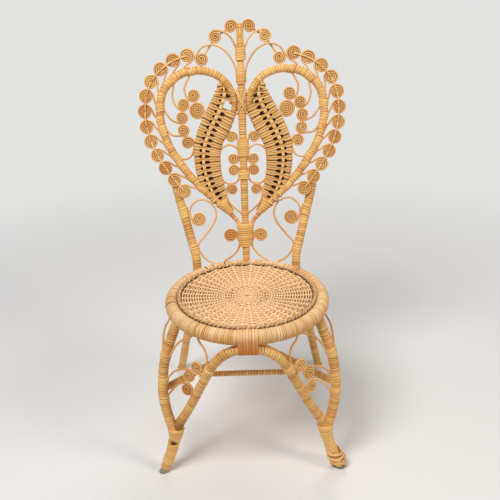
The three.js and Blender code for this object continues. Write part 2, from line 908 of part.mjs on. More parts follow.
// Seat front lashing: one band round the ring and the top of the arch
place('seat_front_lashing', lashCane, (grow) => {
  const upper = ringTube + 2 * wrap + grow;
  const lower = archRadius + 2.5 * wrap + grow;
  const drop = seatHeight - archApex;
  const slope = Math.asin((lower - upper) / drop);
  const outline = new THREE.Shape();
  outline.absarc(0, 0, upper, slope, Math.PI - slope);
  outline.absarc(0, -drop, lower, Math.PI - slope, 2 * Math.PI + slope);
  const sweep = { depth: seatLashWidth, bevelEnabled: false, curveSegments: 8 };
  const band = new THREE.ExtrudeGeometry(outline, sweep);
  const frame = new THREE.Matrix4().makeBasis(
    new THREE.Vector3(0, 1, 0),
    new THREE.Vector3(0, 0, 1),
    new THREE.Vector3(1, 0, 0),
  );
  return solid(band.applyMatrix4(frame.setPosition(-seatLashWidth / 2, -ringRadius, seatHeight)));
});

// Foot lashings, round the leg and the end of the arch
const lashStops = [footLashTop, 84, 66, 44, footLashBottom];
const lashShift = [6, 3, 0.5, 0, 0];
for (const [side, name] of sides) {
  const line = lashStops.map((height, i) => {
    const middle = pointAtHeight(legLine, height);
    return new THREE.Vector3((middle.x - lashShift[i]) * side, middle.y, middle.z);
  });
  const radii = lashShift.map((shift) => legRadius + wrap + shift);
  place(`foot_lashing_${name}`, lashCane, (grow) => tube(line, radii, lashSides, grow));
}

// The origin is on the floor, under the middle of the chair's box.
const box = new THREE.Box3().setFromObject(chair);
chair.position.set(-(box.min.x + box.max.x) / 2, -(box.min.y + box.max.y) / 2, 0);

export default chair;
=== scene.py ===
# Wicker chair: cane wound on bent poles, round reed scrolls, woven leaves and a round woven seat.
import math
import bpy
import numpy as np
from mathutils import Matrix, Vector


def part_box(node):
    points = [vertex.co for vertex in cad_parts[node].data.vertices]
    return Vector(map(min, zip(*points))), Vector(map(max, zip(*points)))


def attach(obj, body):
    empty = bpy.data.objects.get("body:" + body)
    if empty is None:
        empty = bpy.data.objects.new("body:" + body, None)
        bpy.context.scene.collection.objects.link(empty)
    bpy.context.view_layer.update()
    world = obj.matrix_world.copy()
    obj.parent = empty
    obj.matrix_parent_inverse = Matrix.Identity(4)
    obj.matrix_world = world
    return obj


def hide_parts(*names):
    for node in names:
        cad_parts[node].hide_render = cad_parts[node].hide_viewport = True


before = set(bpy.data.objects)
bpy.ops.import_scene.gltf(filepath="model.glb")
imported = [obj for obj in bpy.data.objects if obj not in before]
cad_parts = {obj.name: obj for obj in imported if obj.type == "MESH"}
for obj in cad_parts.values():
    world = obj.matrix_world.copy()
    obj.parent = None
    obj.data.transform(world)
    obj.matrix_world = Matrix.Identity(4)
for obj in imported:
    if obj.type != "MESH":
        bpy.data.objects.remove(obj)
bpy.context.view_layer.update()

scene = bpy.context.scene
rng = np.random.default_rng(23)
mm = 0.001  # lengths are millimetres from the middle of the seat ring, heights from the floor
upward, forward, sideways = (0, 0, 1), (0, -1, 0), (1, 0, 0)
bothSides = ((-1, "left"), (1, "right"))

ringLow, ringHigh = (np.array(corner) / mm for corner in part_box("seat_ring"))
seatMiddle = (ringLow + ringHigh) / 2
seatHeight = seatMiddle[2]
ringTube = (ringHigh[2] - ringLow[2]) / 2
ringRadius = (ringHigh[0] - ringLow[0]) / 2 - ringTube
partShift = np.array([seatMiddle[0], seatMiddle[1], 0.0])


# planes that the reeds lie in
def unit(vector):
    vector = np.asarray(vector, float)
    return vector / np.linalg.norm(vector)


def makePlane(origin, across, out):
    out, across = unit(out), unit(across)
    along = np.cross(out, across)
    return {"origin": np.asarray(origin, float), "across": across, "along": along, "out": out}


def onPlane(plane, stops, side=1):
    rows = []
    for stop in stops:
        u, v, out = (tuple(stop) + (0.0,))[:3]
        point = plane["origin"] + u * plane["across"] + v * plane["along"] + out * plane["out"]
        rows.append(point * (side, 1, 1))
    return np.array(rows)


def toPlane(plane, point):
    offset = np.asarray(point) - plane["origin"]
    return tuple(offset @ plane[key] for key in ("across", "along", "out"))


def ringPoint(degrees, radius=ringRadius, height=seatHeight):
    angle = math.radians(degrees)
    return np.array([radius * math.cos(angle), radius * math.sin(angle), height])


def mirrored(stops, side):
    flipped = np.array(stops, float)
    flipped[:, 0] *= side
    return flipped


lean = math.radians(11)
backPlane = makePlane((0, ringRadius, seatHeight), sideways, (0, -math.cos(lean), math.sin(lean)))
backOut = backPlane["out"]

# smooth lines: columns 0 to 2 are the place, any others are radii and shares that change along the line
spanSteps = 16  # points worked out between two stops


def blend(first, second, knots, i, j, t):
    return ((knots[j] - t) * first + (t - knots[i]) * second) / (knots[j] - knots[i])


def smoothLine(stops, gap=2.0):
    stops = np.asarray(stops, float)
    ends = np.vstack([2 * stops[0] - stops[1], stops, 2 * stops[-1] - stops[-2]])
    dense = []
    for a, b, c, d in zip(ends, ends[1:], ends[2:], ends[3:]):
        pairs = ((a, b), (b, c), (c, d))
        spans = [max(np.linalg.norm(q - p), 1e-6) ** 0.5 for p, q in pairs]
        knots = np.cumsum([0] + spans)
        for t in np.linspace(knots[1], knots[2], spanSteps, endpoint=False):
            ab, bc, cd = (blend(*pair, knots, i, i + 1, t) for i, pair in enumerate(pairs))
            abc, bcd = blend(ab, bc, knots, 0, 2, t), blend(bc, cd, knots, 1, 3, t)
            dense.append(blend(abc, bcd, knots, 1, 2, t))
    dense = np.array(dense + [stops[-1]])
    length = lineLength(dense)[-1]
    return sampleLine(dense, np.linspace(0, length, max(2, round(length / gap)) + 1))


def lineLength(line):
    steps = np.linalg.norm(np.diff(line[:, :3], axis=0), axis=1)
    return np.concatenate([[0], np.cumsum(steps)])


def sampleLine(line, marks):
    along = lineLength(line)
    return np.stack([np.interp(marks, along, line[:, k]) for k in range(line.shape[1])], axis=1)


def lineFrames(middle, upright, closed=False):
    ahead, behind = np.roll(middle, -1, axis=0), np.roll(middle, 1, axis=0)
    if not closed:
        ahead[-1], behind[0] = middle[-1], middle[0]
    tangent = ahead - behind
    tangent /= np.linalg.norm(tangent, axis=1)[:, None]
    normal = np.empty_like(tangent)
    held = np.asarray(upright, float)
    for i, way in enumerate(tangent):
        held = held - way * (held @ way)
        held = held / np.linalg.norm(held)
        normal[i] = held
    return tangent, normal, np.cross(tangent, normal)


def pointAtHeight(line, height):
    for a, b in zip(line, line[1:]):
        if (a[2] - height) * (b[2] - height) <= 0:
            return a + (b - a) * (height - a[2]) / (b[2] - a[2])
    return line[-1]


def withRadius(points, radii):
    return np.column_stack([points, np.broadcast_to(radii, len(points))])


def slowDrift(count, every, spread):
    marks = np.arange(0, count + every, every)
    return np.interp(np.arange(count), marks, rng.normal(0, spread, len(marks)))


def fullTurn(count):
    return np.arange(count) * 2 * math.pi / count


def flatRing(turn, radius, height):
    return withRadius(np.column_stack([radius * np.cos(turn), radius * np.sin(turn)]), height)


# a shell is a grid of points, rings along a line and columns round it, each with a tone and a value of
# painted shade (grooves, flanks, undersides) and stain
grainSpread = 50  # each shell starts somewhere else in the grain


def gridShell(grid, tone=0.5, seam=0.0, closed=False):
    rings, columns = grid.shape[:2]
    spans = rings if closed else rings - 1
    i, k = np.meshgrid(np.arange(spans), np.arange(columns), indexing="ij")
    after, beside = (i + 1) % rings, (k + 1) % columns
    here, there = i * columns, after * columns
    quads = np.stack([here + k, here + beside, there + beside, there + k], -1)
    middle = grid.mean(axis=1)
    along = lineLength(np.vstack([middle, middle[:1]]))
    girth = np.linalg.norm(grid[0] - np.roll(grid[0], -1, axis=0), axis=1).sum()
    start = rng.uniform(0, grainSpread, 2)
    u = np.stack([k, k + 1, k + 1, k], -1) * girth / columns + start[0]
    v = np.stack([along[i], along[i], along[i + 1], along[i + 1]], -1) + start[1]
    shell = {
        "points": grid.reshape(-1, 3),
        "quads": quads.reshape(-1, 4),
        "quadUv": np.stack([u, v], -1).reshape(-1, 4, 2),
        "triangles": np.zeros((0, 3), int),
        "tone": np.broadcast_to(tone, (rings, columns)).ravel(),
        "seam": np.broadcast_to(seam, (rings, columns)).ravel(),
    }
    if not closed:
        first, last = rings * columns, rings * columns + 1
        rim = np.arange(columns)
        following = (rim + 1) % columns
        base = (rings - 1) * columns
        startCap = np.stack([np.full(columns, first), following, rim], -1)
        endCap = np.stack([np.full(columns, last), base + rim, base + following], -1)
        shell["points"] = np.vstack([shell["points"], middle[0], middle[-1]])
        shell["triangles"] = np.vstack([startCap, endCap])
        for key in ("tone", "seam"):
            shell[key] = np.concatenate([shell[key], [shell[key][0], shell[key][-1]]])
    return shell


def tubeShell(line, tall, upright, sides, wide=None, slant=0.0, closed=False, **looks):
    middle = line[:, :3]
    tangent, normal, across = lineFrames(middle, upright, closed)
    turn = fullTurn(sides)
    tall = np.broadcast_to(tall, (len(line), sides))
    wide = tall if wide is None else np.broadcast_to(wide, (len(line), sides))
    grid = middle[:, None] + normal[:, None] * (tall * np.cos(turn))[..., None]
    grid = grid + across[:, None] * (wide * np.sin(turn))[..., None]
    grid = grid + tangent[:, None] * (slant * np.cos(turn))[None, :, None]
    return gridShell(grid, closed=closed, **looks)


# values round a strand: painted shade on both flanks, painted shade underneath, and which columns face out
def paintedFlankShade(sides, strength, clear=0.0):
    return strength * np.clip((np.abs(np.sin(fullTurn(sides))) - clear) / (1 - clear), 0, 1) ** 2


def paintedUnderShade(sides, strength, clear=0.4):
    return strength * np.clip(-clear - np.cos(fullTurn(sides)), 0, 1)


def facingOut(sides, over=-0.2):
    return np.cos(fullTurn(sides)) > over


def strandShell(line, shape, upright):
    tone, seam = rng.uniform(*shape["tone"]), paintedFlankShade(shape["sides"], *shape["flank"])
    return tubeShell(line, shape["thick"], upright, shape["sides"], shape["half"], tone=tone, seam=seam)


# cane wound round a pole: each turn is a crowned strip with its own tone, and a groove to the next; the
# groove and the strip's edges get painted shade, the widest gaps the most
winding = {
    "phases": (0.0, 0.17, 0.5, 0.83), "crown": (-0.14, 0, -0.14), "shade": (0.1, 0, 0.1), "gap": 1.5,
    "bandTurns": 9, "bandDrift": 0.12, "gapingShare": 0.05, "bareShade": 1.3,
}


def windMarks(length, cane):
    count = max(1, round(length / cane["width"]))
    widths = 1 + cane["unevenness"] * rng.uniform(-1, 1, count)
    edges = np.concatenate([[0], np.cumsum(widths)]) * length / widths.sum()
    phases = np.array(winding["phases"])
    marks = (edges[:-1, None] + phases * np.diff(edges)[:, None]).ravel()
    drift = slowDrift(count, winding["bandTurns"], winding["bandDrift"])
    tones = np.clip(cane["tone"] + drift + rng.normal(0, cane["toneSpread"], count), 0, 1)
    openness = rng.uniform(*cane["openness"], count)
    openness = openness + cane["gaping"] * (rng.uniform(size=count) < winding["gapingShare"])
    crown, shade = (np.tile(winding[key], (count, 1)) for key in ("crown", "shade"))
    dip = np.column_stack([-openness, crown]) * cane["groove"]
    dip = (dip + rng.normal(0, cane["swell"], count)[:, None]).ravel()
    seam = np.column_stack([openness, shade]).ravel()
    seam[0] = cane["endShade"]
    return (
        np.append(marks, length),
        np.append(dip, -cane["groove"]),
        np.append(np.repeat(tones, len(phases)), tones[-1]),
        np.append(seam, cane["endShade"]),
    )


def woundShell(stops, cane, upright, sides=18, closed=False, worn=None):
    fine = stops if closed else smoothLine(stops, winding["gap"])
    length = lineLength(fine)[-1]
    marks, dip, tone, seam = windMarks(length, cane)
    if closed:
        marks, dip, tone, seam = (row[:-1] for row in (marks, dip, tone, seam))
    line = sampleLine(fine, marks)
    tall = line[:, 3:4] + dip[:, None]
    wide = line[:, -1:] + dip[:, None]
    seam = seam[:, None]
    # worn patch: the winding is worn through, so it sits thinner there, and the hole is painted dark as the
    # shade inside it
    if worn:
        share, turn = (marks / length)[:, None], (np.arange(sides) / sides + 0.5) % 1 - 0.5
        along, around = (share - worn["middle"]) / worn["half"], (turn - worn["facing"]) / worn["reach"]
        bare = along ** 2 + around ** 2 < 1
        tall, wide = (np.where(bare, worn["radius"], row) for row in (tall, wide))
        seam = np.where(bare, winding["bareShade"], seam)
    return tubeShell(line, tall, upright, sides, wide, cane["slant"], closed, tone=tone[:, None], seam=seam)


def buildPiece(name, shells, finish, nodes=(), floorCut=False):
    points = np.concatenate([shell["points"] for shell in shells])
    if floorCut:
        points[:, 2] = np.maximum(points[:, 2], 0)
    starts = np.cumsum([0] + [len(shell["points"]) for shell in shells])
    quads = np.concatenate([shell["quads"] + start for shell, start in zip(shells, starts)])
    triangles = np.concatenate([shell["triangles"] + start for shell, start in zip(shells, starts)])
    corners = np.concatenate([quads.ravel(), triangles.ravel()])
    sizes = np.concatenate([np.full(len(quads), 4), np.full(len(triangles), 3)])
    uv = [shell["quadUv"].reshape(-1, 2) for shell in shells]
    uv = np.concatenate(uv + [np.zeros((triangles.size, 2))])
    mesh = bpy.data.meshes.new(name)
    mesh.vertices.add(len(points))
    mesh.vertices.foreach_set("co", ((points + partShift) * mm).astype(np.float32).ravel())
    mesh.loops.add(len(corners))
    mesh.loops.foreach_set("vertex_index", corners.astype(np.int32))
    mesh.polygons.add(len(sizes))
    mesh.polygons.foreach_set("loop_start", np.concatenate([[0], np.cumsum(sizes)[:-1]]).astype(np.int32))
    mesh.polygons.foreach_set("loop_total", sizes.astype(np.int32))
    mesh.update(calc_edges=True)
    mesh.polygons.foreach_set("use_smooth", np.ones(len(sizes), bool))
    mesh.uv_layers.new(name="cane").data.foreach_set("uv", (uv * mm).astype(np.float32).ravel())
    for key in ("tone", "seam"):
        values = np.concatenate([shell[key] for shell in shells]).astype(np.float32)
        mesh.attributes.new(key, "FLOAT", "POINT").data.foreach_set("value", values)
    mesh.validate()
    mesh.materials.append(finish["material"])
    piece = bpy.data.objects.new(name, mesh)
    scene.collection.objects.link(piece)
    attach(piece, "root")
    if nodes:
        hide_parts(*nodes)


def buildSided(label, node, name, shells, finish, floorCut=False):
    buildPiece(f"{label}.{name}", shells, finish, [f"{node}_{name}"], floorCut)


# shader node groups
colourSocket, valueSocket, vectorSocket = "NodeSocketColor", "NodeSocketFloat", "NodeSocketVector"
mixFactor, mixFirst, mixSecond, mixResult = 0, 6, 7, 2  # sockets of a mix node that are for colour


def newGroup(name, inputs, outputs):
    group = bpy.data.node_groups.new(name, "ShaderNodeTree")
    for label, kind, value in inputs:
        socket = group.interface.new_socket(label, in_out="INPUT", socket_type=kind)
        socket.default_value = value
    for label, kind in outputs:
        group.interface.new_socket(label, in_out="OUTPUT", socket_type=kind)
    entry = group.nodes.new("NodeGroupInput")
    leave = group.nodes.new("NodeGroupOutput")
    return group, entry.outputs, leave.inputs


def addNode(tree, kind, links=(), **settings):
    node = tree.nodes.new(kind)
    for key, value in settings.items():
        if key in node.bl_rna.properties:
            setattr(node, key, value)
        else:
            node.inputs[key.replace("_", " ")].default_value = value
    for socket, source in links:
        tree.links.new(source, node.inputs[socket])
    return node


def feed(tree, socket, value):
    if isinstance(value, (int, float, tuple)):
        socket.default_value = value
    else:
        tree.links.new(value, socket)


def mathNode(tree, operation, first, second, clamp=False):
    node = addNode(tree, "ShaderNodeMath", operation=operation, use_clamp=clamp)
    feed(tree, node.inputs[0], first)
    feed(tree, node.inputs[1], second)
    return node.outputs[0]


def mixColour(tree, factor, first, second):
    node = addNode(tree, "ShaderNodeMix", data_type="RGBA")
    for socket, value in ((mixFactor, factor), (mixFirst, first), (mixSecond, second)):
        feed(tree, node.inputs[socket], value)
    return node.outputs[mixResult]


def noise(tree, vector, **settings):
    return addNode(tree, "ShaderNodeTexNoise", [("Vector", vector)], **settings).outputs[0]


caneLook = {
    "fibreShare": 0.55, "blotchShare": 0.7, "deepUpTo": 0.62, "stainOver": 0.6, "stainGain": 5.0,
    "shadeAndStainPower": 1.3, "roughShare": 0.3, "roughLeast": 0.3,
}


def caneSurfaceGroup():
    group, entry, leave = newGroup(
        "caneSurface",
        [
            ("Pale", colourSocket, (0.8, 0.55, 0.27, 1)),
            ("Deep", colourSocket, (0.6, 0.34, 0.13, 1)),
            ("Shade And Stain", colourSocket, (0.14, 0.06, 0.02, 1)),
            ("Fibre Scale", vectorSocket, (60, 2200, 1)),
            ("Shade And Stain Strength", valueSocket, 0.85),
            ("Stain", valueSocket, 0.3),
        ],
        [("Colour", colourSocket), ("Roughness", valueSocket), ("Height", valueSocket)],
    )
    tone = addNode(group, "ShaderNodeAttribute", attribute_name="tone").outputs["Fac"]
    seam = addNode(group, "ShaderNodeAttribute", attribute_name="seam").outputs["Fac"]
    uvMap = addNode(group, "ShaderNodeUVMap", uv_map="cane").outputs[0]
    place = addNode(group, "ShaderNodeTexCoord").outputs["Object"]
    stretch = [(0, uvMap), (1, entry["Fibre Scale"])]
    stretched = addNode(group, "ShaderNodeVectorMath", stretch, operation="MULTIPLY").outputs[0]
    fibre = noise(group, stretched, Scale=1.0, Detail=4.0, Roughness=0.6)
    blotch = noise(group, place, Scale=26.0, Detail=3.0)
    speck = noise(group, place, Scale=420.0, Detail=2.0)
    fibreLift = mathNode(group, "MULTIPLY", fibre, caneLook["fibreShare"])
    blotchLift = mathNode(group, "MULTIPLY", blotch, caneLook["blotchShare"])
    paleShare = mathNode(group, "ADD", tone, mathNode(group, "ADD", fibreLift, blotchLift))
    paleShare = mathNode(group, "SUBTRACT", paleShare, caneLook["deepUpTo"], clamp=True)
    colour = mixColour(group, paleShare, entry["Deep"], entry["Pale"])
    stainMask = mathNode(group, "SUBTRACT", speck, caneLook["stainOver"], clamp=True)
    stainMask = mathNode(group, "MULTIPLY", stainMask, caneLook["stainGain"], clamp=True)
    stainMask = mathNode(group, "MULTIPLY", stainMask, entry["Stain"])
    colour = mixColour(group, stainMask, colour, entry["Shade And Stain"])
    # the seam attribute is painted shade in grooves, on flanks and underneath, plus a few stains; it
    # darkens the colour toward the groove colour
    shadeAndStainMask = mathNode(group, "POWER", seam, caneLook["shadeAndStainPower"])
    shadeAndStainMask = mathNode(group, "MULTIPLY", shadeAndStainMask, entry["Shade And Stain Strength"])
    colour = mixColour(group, shadeAndStainMask, colour, entry["Shade And Stain"])
    rough = mathNode(group, "MULTIPLY", mathNode(group, "ADD", fibre, seam), caneLook["roughShare"])
    rough = mathNode(group, "ADD", rough, caneLook["roughLeast"], clamp=True)
    for label, source in (("Colour", colour), ("Roughness", rough), ("Height", fibre)):
        group.links.new(source, leave[label])
    return group


def groundWearGroup(level=0.75):
    group, entry, leave = newGroup(
        "groundWear",
        [
            ("Colour", colourSocket, (0.8, 0.55, 0.27, 1)),
            ("Weathered", colourSocket, (0.3, 0.29, 0.2, 1)),
            ("Reach", valueSocket, 0.012),
        ],
        [("Colour", colourSocket)],
    )
    place = addNode(group, "ShaderNodeTexCoord").outputs["Object"]
    height = addNode(group, "ShaderNodeSeparateXYZ", [(0, place)]).outputs["Z"]
    ragged = noise(group, place, Scale=90.0, Detail=3.0)
    share = mathNode(group, "DIVIDE", height, entry["Reach"])
    share = mathNode(group, "SUBTRACT", mathNode(group, "ADD", ragged, level), share, clamp=True)
    colour = mixColour(group, share, entry["Colour"], entry["Weathered"])
    group.links.new(colour, leave["Colour"])
    return group


caneSurface = caneSurfaceGroup()
groundWear = groundWearGroup()
roundFibre, lengthFibre = (50, 1900, 1), (1900, 50, 1)
brown, darkBrown = (0.14, 0.044, 0.009), (0.07, 0.025, 0.01)
weaveBrown, earth = (0.1, 0.04, 0.015), (0.08, 0.06, 0.04)


# groove: the colour of painted shade in grooves, on flanks and underneath, and of stains
def caneFinish(name, slot, pale, deep, groove=brown, fibre=roundFibre, coat=0.06, wearReach=0.003):
    material = bpy.data.materials.new(name)
    material.use_nodes = True
    tree = material.node_tree
    shader = tree.nodes["Principled BSDF"].inputs
    surface = addNode(tree, "ShaderNodeGroup", node_tree=caneSurface)
    for label, value in (("Pale", pale), ("Deep", deep), ("Shade And Stain", groove)):
        surface.inputs[label].default_value = (*value, 1)
    surface.inputs["Fibre Scale"].default_value = fibre
    colour = [("Colour", surface.outputs["Colour"])]
    wear = addNode(tree, "ShaderNodeGroup", colour, node_tree=groundWear)
    wear.inputs["Reach"].default_value = wearReach
    height = [("Height", surface.outputs["Height"])]
    bump = addNode(tree, "ShaderNodeBump", height, Strength=0.25, Distance=0.0004)
    tree.links.new(wear.outputs["Colour"], shader["Base Color"])
    tree.links.new(surface.outputs["Roughness"], shader["Roughness"])
    tree.links.new(bump.outputs[0], shader["Normal"])
    for label, value in (("Coat Weight", coat), ("Coat Roughness", 0.35), ("Specular IOR Level", 0.3)):
        shader[label].default_value = value
    return {"material": material, "slot": slot}


poleFinish = caneFinish("wound cane", "pole_cane", (0.97, 0.6, 0.21), (0.68, 0.3, 0.07))
ringFinish = caneFinish("ring cane", "pole_cane", (0.98, 0.7, 0.39), (0.74, 0.35, 0.09))
lashFinish = caneFinish("lashing cane", "lash_cane", (0.97, 0.6, 0.21), (0.72, 0.33, 0.085))
frontFinish = caneFinish("front lashing", "lash_cane", (0.97, 0.66, 0.34), (0.72, 0.22, 0.02))
reedFinish = caneFinish(
    "round reed", "reed_cane", (0.95, 0.57, 0.21), (0.68, 0.29, 0.075), darkBrown, lengthFibre, coat=0.05,
)
weaveFinish = caneFinish(
    "woven cane", "woven_cane", (0.96, 0.66, 0.37), (0.75, 0.44, 0.19), weaveBrown, lengthFibre, coat=0.05,
)
leafFinish = caneFinish(
    "leaf cane", "woven_cane", (0.96, 0.59, 0.23), (0.68, 0.31, 0.08), darkBrown, lengthFibre, coat=0.05,
)
bareFinish = caneFinish(
    "bare pole", "pole_cane", (0.26, 0.25, 0.17), (0.14, 0.13, 0.08), earth, lengthFibre,
    coat=0.0, wearReach=0.012,
)
print("finishes made")

# poles wound with cane
poleCane = {
    "width": 5.8, "unevenness": 0.16, "groove": 0.5, "swell": 0.1, "tone": 0.55, "toneSpread": 0.2,
    "slant": 1.3, "openness": (0.45, 1.25), "endShade": 0.3, "gaping": 0.4,
}
legCane = {**poleCane, "openness": (0.6, 1.3)}
ringCane = {
    "width": 4.0, "unevenness": 0.2, "groove": 0.5, "swell": 0.12, "tone": 0.55, "toneSpread": 0.22,
    "slant": 1.0, "openness": (0.4, 1.25), "endShade": 0.5, "gaping": 1.2,
}

leg = {
    "radius": 10.5, "angle": 28, "splay": 60,
    "bareTop": 13, "bareRadius": 9.4, "bareSides": 20, "overlap": 6,
    "bend": [
        (0, seatHeight), (13, 305), (29, 262), (38, 212), (39, 168),
        (31, 124), (22, 88), (27, 54), (39, 22), (50, -6),
    ],
}
legTop = ringPoint(-leg["angle"])
legStops = np.array([
    (legTop[0] + outward, legTop[1] - leg["splay"] * (1 - z / seatHeight), z, leg["radius"])
    for outward, z in leg["bend"]
])
legLine = smoothLine(legStops)
for side, name in bothSides:
    wound = mirrored(legLine[legLine[:, 2] > leg["bareTop"] - leg["overlap"]], side)
    buildSided("frontLegCane", "front_leg", name, [woundShell(wound, legCane, forward)], poleFinish)
    bare = mirrored(legLine[legLine[:, 2] < leg["bareTop"]], side)
    shells = [tubeShell(bare, leg["bareRadius"], forward, leg["bareSides"])]
    buildPiece(f"frontFootEnd.{name}", shells, bareFinish, floorCut=True)

post = {
    "radius": 10, "angle": 52, "foot": (182, 249, 0), "below": 0.03, "straightTo": 0.1, "nestle": 0.5,
    "aboveRing": (2, 4, 18), "upper": [(131, 90), (148, 153, -12.1), (157, 197, -12.1)],
}
postAtRing = ringPoint(post["angle"], ringRadius + ringTube + post["radius"] - post["nestle"])
rearFoot = np.array(post["foot"], float)
postStops = np.vstack([
    rearFoot - post["below"] * (postAtRing - rearFoot),
    rearFoot + 0.5 * (postAtRing - rearFoot),
    postAtRing + post["straightTo"] * (rearFoot - postAtRing),
    postAtRing + post["aboveRing"],
    onPlane(backPlane, post["upper"]),
])
postLine = smoothLine(withRadius(postStops, post["radius"]))
for side, name in bothSides:
    shells = [woundShell(mirrored(postLine, side), poleCane, forward)]
    buildSided("backPostCane", "back_post", name, shells, poleFinish, floorCut=True)

pole = {"stops": [(0, 8.3), (400, 8.3), (470, 6.8), (537, 3.5)], "radius": 8.3}


def poleRadiusAt(height):
    return float(np.interp(height, *zip(*pole["stops"])))


polePoints = onPlane(backPlane, [(0, v) for v, _ in pole["stops"]])
poleStops = withRadius(polePoints, [r for _, r in pole["stops"]])
buildPiece("centrePoleCane", [woundShell(poleStops, poleCane, backOut)], poleFinish, ["centre_pole"])

bow = {
    "stops": [
        (12.2, 70, 3.6), (13.6, 98, 4.6), (50, 141, 6.3), (91, 178, 8), (134, 230, 9), (169, 291, 9),
        (181, 352, 9), (168, 404, 9), (127, 436, 9), (80, 440, 9), (40, 421, 8.4), (15.6, 376, 7),
        (31, 321, 6), (54, 278, 6), (58, 229, 6), (50, 186, 5.2), (38.5, 142, 3.4),
    ],
    "crest": 9,  # the stop from which the bow runs on as the inner rib of its leaf
}
bowRadii = [r for _, _, r in bow["stops"]]
bowFlat = np.array([(u, v, 0.0) for u, v, _ in bow["stops"]])
for side, name in bothSides:
    stops = withRadius(onPlane(backPlane, bowFlat, side), bowRadii)
    buildSided("heartBowCane", "heart_bow", name, [woundShell(stops, poleCane, backOut)], poleFinish)

arch = {
    "radius": 9.75, "footRadius": 7, "clearance": 0.3, "stained": (110, 138), "stain": 0.85,
    "half": [(0, 0, 0), (24, 1, -3), (48, 3, -15), (68, 9, -39), (94, 19, -92), (123, 31, -156)],
    "feet": [(151, 40, 104), (159, 38, 78)],
}
archApex = seatHeight - ringTube - arch["radius"] - arch["clearance"]
archHalf = [(x, -ringRadius + y, archApex + fall) for x, y, fall in arch["half"]]
archHalf = np.array(archHalf + [(x, -ringRadius + y, z) for x, y, z in arch["feet"]])
archStops = np.vstack([mirrored(archHalf[1:], -1)[::-1], archHalf])
archRadii = np.full(len(archStops), arch["radius"])
archRadii[[0, -1]] = arch["footRadius"]
archLine = smoothLine(withRadius(archStops, archRadii))
archShell = woundShell(archLine, legCane, forward)
onLeft, rise = archShell["points"][:, 0] < 0, archShell["points"][:, 2]
stained = np.interp(rise, arch["stained"], (arch["stain"], 0)) * onLeft
archShell["seam"] = np.maximum(archShell["seam"], stained)
buildPiece("frontArchCane", [archShell], poleFinish, ["front_arch"])

stretcher = {"radius": 7.5, "upper": 190, "rise": 22, "crossAt": 0.55}
upperMiddle = stretcher["upper"] + stretcher["crossAt"] * stretcher["rise"]
lowerHeight = upperMiddle - 2 * stretcher["radius"] - arch["clearance"] - post["nestle"]
for node, side, front, rear in (
    ("stretcher_upper", 1, stretcher["upper"], stretcher["upper"] + stretcher["rise"]),
    ("stretcher_lower", -1, lowerHeight, lowerHeight),
):
    ends = [pointAtHeight(mirrored(legLine, side), front), pointAtHeight(mirrored(postLine, -side), rear)]
    shell = woundShell(withRadius(np.array(ends)[:, :3], stretcher["radius"]), legCane, upward)
    buildPiece(f"{node}Cane", [shell], poleFinish, [node])

crossbar = {"radius": 6.2, "caneRadius": 5.5, "drop": 102, "half": 98}
barHeight = seatHeight - crossbar["drop"]
barY = pointAtHeight(archLine, barHeight)[1] + arch["radius"] + crossbar["radius"] - post["nestle"]
barEnds = np.array([(-crossbar["half"], barY, barHeight), (crossbar["half"], barY, barHeight)])
barShells = [woundShell(withRadius(barEnds, crossbar["caneRadius"]), legCane, upward)]
buildPiece("frontCrossbarCane", barShells, poleFinish, ["front_crossbar"])
print("poles wound")

# seat ring
ring = {
    "shift": 0.4, "sink": 0.9, "tall": ringTube - 0.9, "wide": ringTube - 1.8, "heightShade": (-0.75, 0.08),
    "stops": 721, "sides": 24, "gaps": [109, 119.5, 126.5, 184, 193], "gapHalf": 0.8, "gapShade": 1.3,
}
circle = np.linspace(0, 2 * math.pi, ring["stops"])
ringLine = flatRing(circle, ringRadius + ring["shift"], seatHeight - ring["sink"])
ringLine = withRadius(withRadius(ringLine, ring["tall"]), ring["wide"])
ringShell = woundShell(ringLine, ringCane, upward, ring["sides"], closed=True)
ringX, ringY, ringZ = ringShell["points"].T
# painted light and shade: the ring's tone is raised on its top and lowered on its underside
ringRise = (ringZ - ringLine[0, 2]) / ring["tall"]
ringShell["tone"] = ringShell["tone"] + np.interp(ringRise, (-1, 1), ring["heightShade"])
ringTurns = np.degrees(np.arctan2(ringY, ringX)) % 360
# painted shade in a few gaps where the wraps stand apart
for degrees in ring["gaps"]:
    gap = np.clip(2 - 2 * np.abs(ringTurns - degrees) / ring["gapHalf"], 0, 1)
    ringShell["seam"] = np.maximum(ringShell["seam"], ring["gapShade"] * gap)
buildPiece("seatRingCane", [ringShell], ringFinish, ["seat_ring"])

# woven seat: spokes, rows of cane over and under them, a dark sheet of painted shade beneath the rows,
# a braided border and a knot, each on a dark bed of painted shade; "every" thins out the points of strands
# that hardly show
panel = {"edgeHeight": 348.5, "dish": 4, "pitch": 5.5, "firstRow": 8.5, "lastRow": 137}
spoke = {
    "count": 40, "turn": 4.5, "starts": (3, 45), "halfWithin": 50, "tuck": 2, "stops": 14, "sides": 8,
    "radius": 1.7, "swell": 0.8, "taper": 0.7, "taperWithin": 90, "tone": (0.9, 1),
}
strand = {
    "thick": 1.6, "wide": 1.65, "swell": 0.95, "wave": 1.4, "steps": 6, "sides": 10, "under": 0.8,
    "drift": 0.15, "ripple": 0.25, "ripples": 3,
    "tone": 0.36, "toneSpread": 0.1, "toneStep": 1.7, "crown": 0.6,
}
underSide = {
    "drop": 2.6, "wave": 0.8, "thick": 1.0, "wide": 2.05, "sides": 8, "flank": (0.9, 0.4), "every": 2,
    "spokeThick": 1.2, "spokeWide": 1.6, "spokeTone": 0.8, "spokeFlank": (0.7, 0.5),
}
shadeSheet = {"drop": 2.1, "thick": 0.4, "wide": 3.4, "sides": 6, "tone": 0.4, "lit": 0.8, "every": 3}
